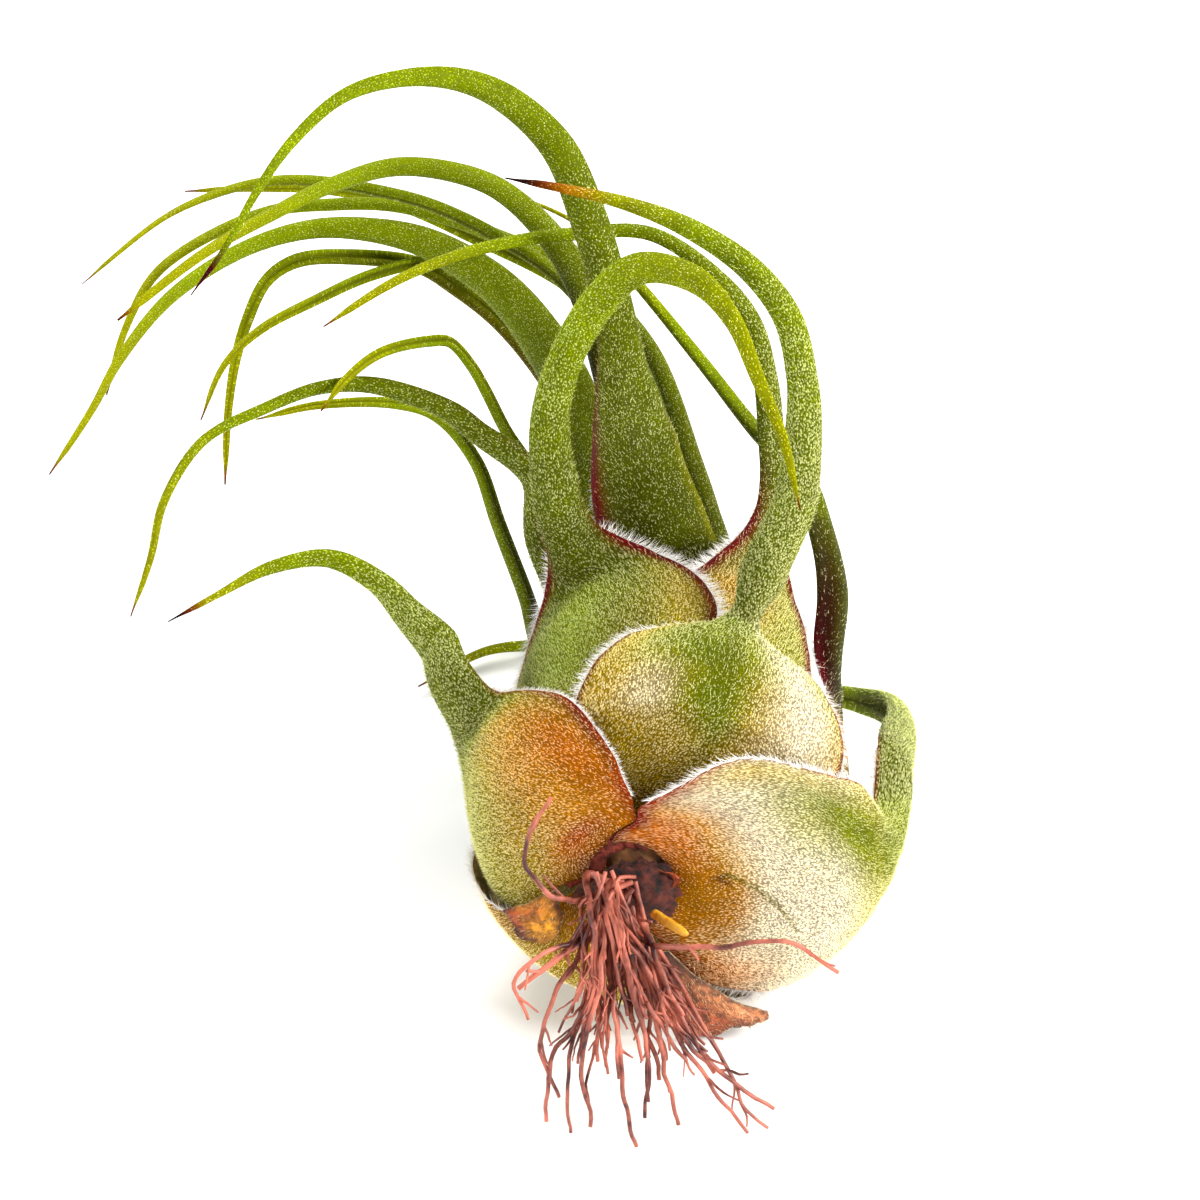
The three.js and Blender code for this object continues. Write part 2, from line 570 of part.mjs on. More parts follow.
// Remains of older leaves round the hollow base, pressed against the sheaths inside them
const driedSheaths = {
  dried_sheath_right: {
    footAt: -9,
    depth: [[-9, -1.3], [-3, -1.6], [0, -2.6], [3, -3.4], [5, -3.2]],
    edges: [[-9, 252, 291], [-5, 262, 294], [0, 270, 303], [2, 278, 304], [5, 288, 296]],
    top: 5,
  },
  dried_sheath_left: {
    footAt: -9,
    depth: [[-9, -1.3], [0, -1.5]],
    edges: [[-9, 206, 186], [-5, 214, 188], [-1, 208, 194]],
    top: -1,
  },
};

// Roots, each a line of places as seen, with its thickness at the crown
const roots = [
  [0.95, [-4.0, 1.4, 1.5], [-4.2, -1.4, 5.0], [-3.6, -6.0, 7.0], [-3.0, -15.6, 4.6]],
  [0.95, [-2.5, 0.0, 1.5], [-0.8, -5.8, 6.5], [0.9, -11.4, 6.0], [4.0, -22.4, 2.2]],
  [0.9, [-1.4, -2.2, 1.0], [1.6, -7.8, 6.0], [5.9, -15.4, 4.6], [9.7, -20.2, 1.8]],
  [0.8, [-3.6, -8.0, 4.0], [-4.4, -13.0, 5.2], [-8.6, -20.6, 3.6], [-9.2, -27.2, 0.8]],
  [0.85, [-3.1, -2.0, 2.0], [-3.4, -11.4, 6.4], [-5.0, -20.2, 4.6], [-3.8, -27.6, 1.0]],
  [0.7, [-5.6, -15.8, 4.9], [-6.6, -23.4, 3.4], [-6.4, -28.2, 1.0]],
  [0.85, [-1.7, -6.0, 3.0], [-0.8, -17.4, 5.8], [0.4, -27.0, 2.6], [1.4, -30.2, 0.6]],
  [0.85, [1.4, -6.0, 2.0], [3.4, -14.6, 5.2], [5.0, -23.4, 3.0], [6.2, -27.4, 1.0]],
  [0.85, [2.4, -6.6, 1.0], [5.8, -16.4, 4.6], [13.2, -23.0, 2.6], [17.2, -25.8, 1.0]],
  [0.75, [4.4, -14.6, 4.3], [10.2, -23.6, 3.4], [14.2, -28.4, 0.9]],
  [0.7, [12.4, -22.3, 2.8], [14.0, -26.0, 2.2], [16.4, -27.8, 1.0]],
  [1.1, [-3.4, -3.6, 1.0], [-7.4, -7.8, 6.6], [-10.2, -10.2, 7.6], [-12.2, -11.6, 7.4]],
  [0.75, [-5.0, -6.0, 4.8], [-9.4, -7.8, 8.4], [-12.6, -10.6, 8.8], [-11.2, -15.4, 7.0]],
  [0.75, [-4.8, -7.0, 4.4], [-8.0, -12.4, 6.6], [-9.8, -18.2, 5.0], [-7.6, -24.2, 2.4]],
  [0.8, [-2.6, -1.0, 1.2], [-8.0, -1.2, 8.0], [-11.4, 2.6, 9.4], [-10.4, 7.0, 9.8], [-8.4, 10.2, 10.4]],
  [0.85, [0.4, -4.4, 1.0], [4.4, -7.0, 7.0], [11.6, -6.8, 10.0], [18.0, -6.2, 10.6], [24.4, -9.8, 8.6]],
  [0.9, [0.8, -0.6, 0.6], [2.4, -5.4, 5.0], [4.4, -10.6, 6.0], [6.6, -14.8, 5.2]],
  [0.8, [-0.4, -2.6, 1.2], [0.2, -9.4, 6.4], [2.6, -19.6, 4.4], [2.2, -26.6, 1.6]],
];
const rootSides = 5;
const rootSteps = 7;
const rootTaper = 0.55;       // thickness of a root's end against its start
const rootSink = 0.3;         // a root starts this share of the way out of the crown's middle
const crownPlace = -1.0;
const crownRadius = 4.4;
const crownLength = 4.6;
const youngRoot = { from: [3.0, -3.0, 1.2], to: [7.2, -5.6, 5.6], radius: 1.7, tip: 1.0 };

// A strip of dried sheath between two edges
function driedSheath(leaf) {
  const rows = [];
  for (let k = 0; k <= driedRows; k += 1) {
    const place = lerp(leaf.footAt, leaf.top, k / driedRows);
    const row = { outer: [], inner: [] };
    for (let j = 0; j <= acrossBlade; j += 1) {
      const azimuth = lerp(readRows(leaf.edges, place, 1), readRows(leaf.edges, place, 2), j / acrossBlade);
      row.outer.push(sheathPoint(leaf, place, azimuth, marginThickness / 2));
      row.inner.push(sheathPoint(leaf, place, azimuth, -marginThickness / 2));
    }
    rows.push(row);
  }
  return facingOut(solidFromRows(rows));
}

// A closed tube through rings of a changing radius
function tubeSolid(centres, radii, sides) {
  const curve = new THREE.CatmullRomCurve3(centres, false, 'centripetal');
  const steps = radii.length - 1;
  const fractions = radii.map((radius, k) => k / steps);
  const start = curve.getTangentAt(0);
  const firstBack = Math.abs(start.x) < 0.9 ? new THREE.Vector3(1, 0, 0) : new THREE.Vector3(0, 0, 1);
  const frames = carryFrames(curve, fractions, firstBack, 0);
  const positions = [];
  const faces = [];
  frames.forEach((frame, k) => {
    for (let j = 0; j < sides; j += 1) {
      const turn = 2 * Math.PI * j / sides;
      const point = frame.centre.clone().addScaledVector(frame.back, radii[k] * Math.cos(turn));
      point.addScaledVector(frame.side, radii[k] * Math.sin(turn));
      positions.push(point.x, point.y, point.z);
    }
  });
  for (let k = 0; k < steps; k += 1) {
    for (let j = 0; j < sides; j += 1) {
      const next = (j + 1) % sides;
      const corners = [k * sides + j, k * sides + next, (k + 1) * sides + next, (k + 1) * sides + j];
      faces.push(corners[0], corners[1], corners[2], corners[0], corners[2], corners[3]);
    }
  }
  for (let j = 1; j + 1 < sides; j += 1) {
    faces.push(0, j + 1, j);
    faces.push(steps * sides, steps * sides + j, steps * sides + j + 1);
  }
  const geometry = new THREE.BufferGeometry();
  geometry.setAttribute('position', new THREE.Float32BufferAttribute(positions, 3));
  geometry.setIndex(faces);
  return facingOut(geometry);
}

// Stem inside the bulb, from just behind the root crown
function stem() {
  const places = [];
  const [start, end] = [stemProfile[0][0], stemProfile[stemProfile.length - 1][0]];
  for (let k = 0; k <= stemRings; k += 1) {
    places.push(lerp(start, end, k / stemRings));
  }
  const centres = places.map((along) => onBulb(along, 0, 0));
  return tubeSolid(centres, places.map((along) => stemRadius(along)), stemSides);
}

// Manifold solid from a geometry, and back
function toSolid(geometry) {
  const mergeDistance = 1e-4;
  const bare = new THREE.BufferGeometry();
  bare.setAttribute('position', geometry.getAttribute('position'));
  bare.setIndex(geometry.getIndex());
  const merged = mergeVertices(bare, mergeDistance);
  return new wasm.Manifold(new wasm.Mesh({
    numProp: 3,
    vertProperties: new Float32Array(merged.getAttribute('position').array),
    triVerts: new Uint32Array(merged.getIndex().array),
  }));
}

function toGeometry(solid) {
  const mesh = solid.getMesh();
  const geometry = new THREE.BufferGeometry();
  geometry.setAttribute('position', new THREE.BufferAttribute(mesh.vertProperties, 3));
  geometry.setIndex(new THREE.BufferAttribute(mesh.triVerts, 1));
  return geometry;
}

// Where a root starts: sunk into the crown, on the way to the root's first place
const crownMiddle = onBulb(crownPlace, 0, 0);

function onCrown(place) {
  return crownMiddle.clone().lerp(fromView(place), rootSink);
}

// Root crown with every root sunk into it, as one solid
function rootBunch() {
  const crown = new THREE.SphereGeometry(1, 10, 7);
  crown.scale(crownRadius, crownLength / 2, crownRadius);
  crown.translate(crownMiddle.x, crownMiddle.y, crownMiddle.z);
  let bunch = toSolid(crown);
  roots.forEach(([thick, ...line]) => {
    const radii = [];
    for (let k = 0; k <= rootSteps; k += 1) {
      radii.push(thick / 2 * lerp(1, rootTaper, k / rootSteps));
    }
    bunch = bunch.add(toSolid(tubeSolid([onCrown(line[0]), ...line.map(fromView)], radii, rootSides)));
  });
  const { from, to, radius, tip } = youngRoot;
  const peg = tubeSolid([onCrown(from), fromView(from), fromView(to)], [radius, radius, radius, tip], 6);
  return toGeometry(bunch.add(toSolid(peg)));
}

// Colours as seen on the mature plant, one for each kind of piece
const colours = {
  sheath: 0xc9c08a,
  blade: 0x7f9a4e,
  stem: 0x9a7a48,
  root: 0x9c5f4c,
  dried: 0x8a5236,
};

const plant = new THREE.Group();

function addPiece(name, geometry, colour) {
  const material = new THREE.MeshStandardMaterial({ color: colour, roughness: 0.75, metalness: 0 });
  const piece = new THREE.Mesh(geometry, material);
  piece.name = name;
  plant.add(piece);
}

Object.entries(sheathLeaves).forEach(([name, leaf]) => {
  addPiece(name, sheathLeaf(leaf), colours.sheath);
});
Object.entries(innerLeaves).forEach(([name, leaf]) => {
  addPiece(name, innerLeaf(leaf), colours.blade);
});
Object.entries(driedSheaths).forEach(([name, leaf]) => {
  addPiece(name, driedSheath(leaf), colours.dried);
});
addPiece('stem', stem(), colours.stem);
addPiece('roots', rootBunch(), colours.root);

export default plant;
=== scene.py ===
import json
import math

import bmesh
import bpy
import numpy as np
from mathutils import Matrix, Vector, noise

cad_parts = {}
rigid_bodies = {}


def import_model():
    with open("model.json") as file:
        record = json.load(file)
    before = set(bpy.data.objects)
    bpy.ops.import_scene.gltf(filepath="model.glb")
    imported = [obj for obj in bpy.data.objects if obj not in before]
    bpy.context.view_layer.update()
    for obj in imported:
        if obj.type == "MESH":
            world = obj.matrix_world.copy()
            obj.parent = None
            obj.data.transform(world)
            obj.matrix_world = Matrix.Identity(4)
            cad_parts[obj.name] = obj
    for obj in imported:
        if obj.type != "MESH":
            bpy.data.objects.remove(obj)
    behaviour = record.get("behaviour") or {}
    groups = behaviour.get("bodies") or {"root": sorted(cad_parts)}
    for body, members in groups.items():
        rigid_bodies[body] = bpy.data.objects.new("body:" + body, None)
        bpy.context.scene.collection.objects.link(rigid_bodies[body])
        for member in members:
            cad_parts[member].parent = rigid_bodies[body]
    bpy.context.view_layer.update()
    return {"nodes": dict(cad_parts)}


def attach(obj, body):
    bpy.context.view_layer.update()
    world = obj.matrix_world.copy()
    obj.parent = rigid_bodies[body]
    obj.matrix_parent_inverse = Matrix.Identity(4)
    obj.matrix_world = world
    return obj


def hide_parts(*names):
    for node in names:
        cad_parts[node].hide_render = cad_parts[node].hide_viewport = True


# Air plant lying on its side: leaves, margin hairs, silver scales, roots and dried sheaths are
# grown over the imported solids. Tables and places are in millimetres, and meshes in metres.
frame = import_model()
print("solids loaded:", len(frame["nodes"]))

mm = 0.001

view = {
    "target": (0.0136, -0.0218, 0.0491),
    "distance": 1.6,       # metres from the target to the camera
    "elevation": 40,       # degrees above the horizon
    "fieldWidth": 0.138,   # metres across the picture at the target
    "sensor": 36,
    "nearest": 0.05,
}
studio = {
    "floorSize": 3.0,
    "floorColour": (0.93, 0.93, 0.92),
    "floorRoughness": 0.9,
    "skyColour": (1.0, 1.0, 1.0),
    "skyStrength": 0.3,
    "lampsAim": (0, 0, 0.04),
    "lights": [            # name, place, size, power, colour
        ("windowRight", (0.75, -0.2, 0.45), 0.4, 13.0, (1.0, 0.98, 0.95)),
        ("topBack", (-0.1, 0.6, 0.7), 0.4, 10.0, (1.0, 1.0, 1.0)),
        ("fillLeft", (-0.75, -0.25, 0.35), 0.5, 6.0, (0.98, 0.99, 1.0)),
        ("frontLow", (0.2, -0.8, 0.35), 0.5, 2.5, (1.0, 0.98, 0.96)),
    ],
}
attributeFields = {"FLOAT": "value", "FLOAT_COLOR": "color", "FLOAT_VECTOR": "vector"}


def linkObject(name, data):
    thing = bpy.data.objects.new(name, data)
    bpy.context.scene.collection.objects.link(thing)
    return thing


def meshObject(name, points, edges, faces):
    mesh = bpy.data.meshes.new(name)
    mesh.from_pydata(np.asarray(points, float).tolist(), edges, faces)
    return linkObject(name, mesh)


def setAttribute(mesh, key, kind, values):
    data = mesh.attributes.new(key, kind, "POINT").data
    data.foreach_set(attributeFields[kind], np.asarray(values, np.float32).ravel())


def setTint(mesh, tint):
    opaque = np.ones(tint.shape[:-1] + (1,))
    setAttribute(mesh, "tint", "FLOAT_COLOR", np.concatenate([tint, opaque], axis=-1))


def setMap(mesh, places):
    corner = np.empty(len(mesh.loops), int)
    mesh.loops.foreach_get("vertex_index", corner)
    mesh.uv_layers.new(name="leafMap").data.foreach_set("uv", places[corner].astype(np.float32).ravel())


# Inputs take a value or another node's socket
def setInputs(tree, node, inputs):
    for key, value in inputs.items():
        if isinstance(value, bpy.types.NodeSocket):
            tree.links.new(value, node.inputs[key])
        else:
            node.inputs[key].default_value = value


def addNode(tree, kind, inputs=None, **settings):
    node = tree.nodes.new(kind)
    for key, value in settings.items():
        setattr(node, key, value)
    setInputs(tree, node, inputs or {})
    return node


# A material whose shader takes the inputs that build gives
def newMaterial(name, build):
    material = bpy.data.materials.new(name)
    material.use_nodes = True
    tree = material.node_tree
    setInputs(tree, tree.nodes["Principled BSDF"], build(tree))
    return material


def makeCamera():
    tilt = math.radians(view["elevation"])
    look = Vector((0, math.cos(tilt), -math.sin(tilt)))
    data = bpy.data.cameras.new("photoCamera")
    data.sensor_width = view["sensor"]
    data.lens = view["sensor"] * view["distance"] / view["fieldWidth"]
    data.clip_start = view["nearest"]
    camera = linkObject("photoCamera", data)
    camera.location = Vector(view["target"]) - look * view["distance"]
    camera.rotation_euler = look.to_track_quat("-Z", "Y").to_euler()
    bpy.context.scene.camera = camera


def makeStudio():
    bpy.context.scene.view_settings.view_transform = "Standard"
    world = bpy.data.worlds.new("studioSky")
    world.use_nodes = True
    tree = world.node_tree
    sky = {"Color": (*studio["skyColour"], 1), "Strength": studio["skyStrength"]}
    setInputs(tree, tree.nodes["Background"], sky)
    bpy.context.scene.world = world
    for name, place, size, power, colour in studio["lights"]:
        data = bpy.data.lights.new(name, "AREA")
        data.size, data.energy, data.color = size, power, colour
        lamp = linkObject(name, data)
        lamp.location = place
        toPlant = Vector(studio["lampsAim"]) - Vector(place)
        lamp.rotation_euler = toPlant.to_track_quat("-Z", "Y").to_euler()
    half = studio["floorSize"] / 2
    corners = [(-half, -half, 0), (half, -half, 0), (half, half, 0), (-half, half, 0)]
    floor = meshObject("paleFloor", corners, [], [(0, 1, 2, 3)])
    floor.data.materials.append(newMaterial("palePaper", lambda tree: {
        "Base Color": (*studio["floorColour"], 1), "Roughness": studio["floorRoughness"],
    }))


makeCamera()
makeStudio()
print("camera and studio ready")

# Sizes shared by all leaves, the same as those of the solids
bulb = {
    "middle": (-16.5, 42.9),   # middle of the plant in plan, from the root collar
    "height": 24.0,            # the bulb's axis above the table
    "lean": 5.7,               # degrees that the axis turns to the right
    "shift": 4.0,              # mm that the outer sheaths lie to the right of the stem
    "shiftRadii": (5, 16),     # the shift sets in between these radii
    "shiftAlong": (0, 12),     # and between these places on the axis
    "viewTilt": 40,
    "skinFoot": -14.4,
    "skinStep": 0.5,
    "sheathStep": 0.3,
    "pressHeight": 0.12,       # what lies lower than this is pressed flat on the table
}
wall = {
    "sheath": 1.0,
    "margin": 0.7,
    "lip": 0.22,               # the finest part of a sheath, right at its margin
    "lipReach": 3.2,
    "blade": 1.3,
    "core": 0.15,              # least radius of a blade's channel, as a share of the outer one
    "rounding": (0.5, 10),     # how much a blade's margins round off, and how late
    "fullCurl": 105,
    "shoulderCurls": [58, 84, 105],
    "seatGap": 0.3,
    "leadSteps": [6, 3, 0],
    "hugging": 0.15,
    "tip": (0.3, 4.5),         # the width left at the tip, and the length that dries to it
    "crowding": (1.3, 0.95),   # how the rows crowd toward the shoulder and the tip
    "neckFlow": (9.0, 9.0),    # how far before and after the shoulder the neck is drawn out
    "longNecks": {"leaf_left": (12.0, 9.0), "leaf_front": (15.0, 10.0), "leaf_right": (5.0, 7.0),
                  "leaf_top": (3.0, 7.0)},
}

# The tables say what the solids' say, apart from the corner of leaf_right's left margin, which
# closes on leaf_left. The skin has rows of place, distance along the axis and radius, and the
# stem rows of distance and radius.
bulbSkin = [[-14.4, 1.7, 4.7], [-10.6, 0.8, 8.4], [-6.5, 0.1, 12.5], [-2.0, 0.6, 17.0], [2.7, 3.2, 20.8],
    [7.5, 7.5, 23.0], [13.0, 13.0, 23.9], [20.0, 20.0, 22.9], [28.0, 28.0, 20.6], [36.0, 36.0, 18.0],
    [44.0, 44.0, 15.4], [52.0, 52.0, 13.0], [60.0, 60.0, 11.0]]
stemProfile = [[2.4, 3.4], [6.0, 4.2], [14.0, 3.8], [24.0, 3.0], [32.0, 1.6]]

# Leaves whose sheath wraps the bulb, from footAt to the shoulder on the skin's rows. Depth has rows
# of place and mm under the skin, and edges rows of place and the azimuths of both margins. A sheath
# that starts inside the bulb rises from footAlong on the stem and meets its depth at joinAt. The
# blade's places are as seen from the root end, and the widths are the shoulder's and theirs.
sheathLeaves = {
    "leaf_left": {
        "footAt": -14.4, "shoulder": 21, "neck": 11,
        "depth": [[-14.4, 0.7], [-8, 1.2], [0, 1.7], [8, 1.4], [13, 0.7], [21, -2.4]],
        "edges": [[-14.4, 192, 124], [-11, 193, 92], [-8, 194, 98], [-4, 199, 106], [0, 204, 108],
            [8, 206, 118], [13, 202, 129], [17, 190, 139], [21, 178, 148]],
        "blade": [[-18.3, 23.4, -11.5], [-20.8, 27.4, -14], [-24.4, 31.0, -16], [-28.5, 35.1, -18],
            [-34.3, 37.9, -18], [-41.2, 36.8, -15.5], [-47.5, 33.4, -12], [-52.9, 30.3, -10]],
        "widths": [11.6, 8.8, 6.4, 4.8, 3.5, 2.8, 2.1, 1.1, 0.7],
    },
    "leaf_right": {
        "footAt": -14.4, "shoulder": 16, "neck": 9,
        "depth": [[-14.4, 0.7], [-8, 0.9], [-2, 1.0], [4, -0.2], [10, -2.2], [16, -3.6]],
        "edges": [[-14.4, 116, -76], [-11, 90, -76], [-8, 94, -75], [-4, 81, -72], [0, 70, -62],
            [2.5, 60, -58], [5, 42, -55], [7.5, 30, -50], [10, 26, -42], [13, 22, -24], [16, 18, -5]],
        "blade": [[30.1, 14.6, -19], [31.3, 17.6, -30], [30.7, 19.9, -42], [27.9, 20.8, -52],
            [24.6, 21.5, -59.5], [19.5, 22.6, -62.3], [12.5, 24.0, -63.6], [5.5, 25.4, -64.8]],
        "widths": [9.4, 7.2, 5.4, 4.0, 3.2, 2.6, 2.0, 1.3, 0.7],
        "curls": [78, 100, 105, 105, 105, 105, 105, 105, 105],
    },
    "leaf_under": {
        "pressed": True, "footAt": -14.4, "shoulder": 36, "neck": 9,
        "depth": [[-14.4, 0], [20, 0], [30, 0.2]],
        "edges": [[-14.4, 275, 199], [-9, 277, 202], [-4, 283, 204], [0, 293, 200], [8, 299, 197],
            [18, 298, 206], [26, 286, 232], [32, 274, 250], [36, 267, 255]],
        "blade": [[6.0, 19.0, -52], [2.0, 24.6, -62.5], [-7.7, 27.3, -67.2], [-16.0, 27.0, -66.8],
            [-24.6, 22.5, -62.4]],
        "widths": [5.0, 4.2, 3.2, 2.2, 1.5, 0.8],
    },
    "leaf_top": {
        "footAt": -6, "footAlong": 6, "joinAt": 8, "shoulder": 24, "neck": 6,
        "depth": [[6, 3.4], [14, 1.0], [21, 0.1], [24, -0.8]],
        "edges": [[-6, 122, 24], [8, 121, 25], [13, 114, 30], [17, 106, 40], [19.5, 98, 48],
            [21.3, 88, 56], [24, 81, 61]],
        "blade": [[15.4, 34.9, -5.3], [17.8, 39.8, -7.2], [19.7, 44.3, -9], [20.7, 54.0, -12],
            [20.5, 58.3, -13], [18.9, 65.3, -15], [14.6, 71.1, -17.5], [7.6, 75.9, -20],
            [0.6, 78.8, -22.5], [-6.4, 80.6, -24.5], [-14.0, 82.1, -26]],
        "widths": [8.2, 6.0, 5.4, 5.1, 4.3, 3.8, 3.6, 3.3, 2.7, 1.9, 1.3, 0.7],
    },
    "leaf_front": {
        "footAt": -2, "footAlong": 9, "joinAt": 14, "shoulder": 41, "neck": 9,
        "depth": [[14, 5.1], [22, 3.3], [28, 1.0], [34, -0.8], [41, -3.0]],
        "edges": [[-2, 172, 80], [14, 172, 79], [24, 172, 78], [29, 166, 80], [33, 158, 90],
            [37, 151, 104], [41, 145, 120]],
        "blade": [[-7.0, 42.0, -19.5], [-8.2, 47.0, -20], [-8.7, 53.7, -20], [-6.9, 60.7, -19],
            [-2.9, 67.6, -16], [1.8, 71.3, -12.5], [8.7, 69.7, -7], [12.7, 65.1, -4.5], [15.6, 58.1, -3],
            [18.4, 51.2, -2.5], [20.2, 43.1, -2]],
        "widths": [8.6, 6.6, 5.6, 4.7, 4.2, 4.3, 4.0, 3.6, 2.7, 2.1, 1.5, 0.7],
    },
    "leaf_far_right": {
        "footAt": -2, "footAlong": 8, "joinAt": 14, "shoulder": 31, "neck": 7,
        "depth": [[14, 4.6], [20, 3.2], [26, 2.6]],
        "edges": [[-2, 34, -42], [14, 34, -42], [20, 33, -36], [24, 29, -20], [28, 24, -4], [31, 20, 4]],
        "blade": [[23.5, 32.8, -29], [22.3, 41.0, -37], [20.7, 46.9, -43], [15.5, 52.3, -50],
            [9.0, 60.8, -57], [2.0, 69.6, -62], [-2.9, 75.2, -64], [-6.0, 77.9, -65], [-13.2, 81.4, -66]],
        "widths": [5.8, 5.4, 4.6, 3.4, 2.8, 2.4, 2.0, 1.2, 0.8, 0.6],
        "curls": [75, 100, 105, 105, 105, 105, 105, 105, 105, 105],
    },
    "leaf_mid_right": {
        "footAt": 1, "footAlong": 11, "joinAt": 17, "shoulder": 49, "neck": 8,
        "depth": [[17, 6.8], [26, 4.4], [36, 2.6], [49, 1.6]],
        "edges": [[1, 95, 28], [17, 95, 28], [30, 94, 28], [38, 92, 28], [42, 84, 31], [46, 74, 37],
            [49, 66, 44]],
        "blade": [[17.0, 44.5, -35], [17.0, 54.0, -42], [16.5, 58.8, -44], [14.9, 65.3, -46],
            [11.3, 70.4, -48], [3.1, 76.0, -49], [-5.8, 76.0, -48.5], [-14.7, 74.7, -44],
            [-21.7, 72.6, -40], [-27.6, 69.8, -35], [-35.3, 64.8, -30]],
        "widths": [5.0, 4.0, 3.5, 3.3, 3.0, 2.4, 2.1, 2.0, 1.8, 1.6, 1.3, 0.7],
    },
    "leaf_low_left": {
        "footAt": 1, "footAlong": 11, "joinAt": 17, "shoulder": 41, "neck": 8,
        "depth": [[17, 6.8], [26, 4.2], [36, 2.4]],
        "edges": [[1, 204, 122], [17, 204, 122], [28, 204, 136], [34, 196, 146], [38, 186, 156],
            [41, 180, 163]],
        "blade": [[-9.3, 39.8, -32], [-10.3, 47.5, -35], [-17.0, 52.8, -37], [-20.4, 55.4, -36],
            [-29.4, 58.4, -33], [-36.0, 58.0, -30], [-42.6, 55.4, -26], [-49.3, 51.7, -22],
            [-53.8, 44.4, -18], [-55.2, 37.8, -15], [-57.3, 30.9, -12]],
        "widths": [5.0, 4.8, 4.2, 3.6, 3.4, 2.9, 2.4, 2.2, 1.9, 1.5, 1.2, 0.7],
    },
    "leaf_tall": {
        "footAt": 6, "footAlong": 14, "joinAt": 22, "shoulder": 51, "neck": 8,
        "depth": [[22, 8.2], [34, 6.0], [44, 4.2], [52, 2.4]],
        "edges": [[6, 160, 40], [22, 158, 40], [40, 158, 48], [46, 154, 60], [51, 148, 76]],
        "blade": [[3.0, 44.0, -32.6], [1.6, 50.4, -36], [0.2, 57.0, -39.2], [-0.4, 62.3, -41],
            [-2.3, 71.7, -43], [-4.1, 77.6, -43], [-7.6, 85.9, -41], [-13.5, 91.6, -36],
            [-19.3, 94.0, -31], [-26.2, 94.0, -26], [-33.2, 91.6, -21], [-38.9, 86.3, -18],
            [-42.9, 80.4, -15], [-46.4, 73.9, -13], [-50.3, 68.1, -11]],
        "widths": [14.0, 13.2, 11.2, 7.6, 5.5, 4.7, 4.7, 4.4, 3.9, 3.3, 2.6, 2.2, 1.9, 1.5, 1.1, 0.7],
        "curls": [55, 60, 70, 85, 100, 105, 105, 105, 105, 105, 105, 105, 105, 105, 105, 105],
    },
}
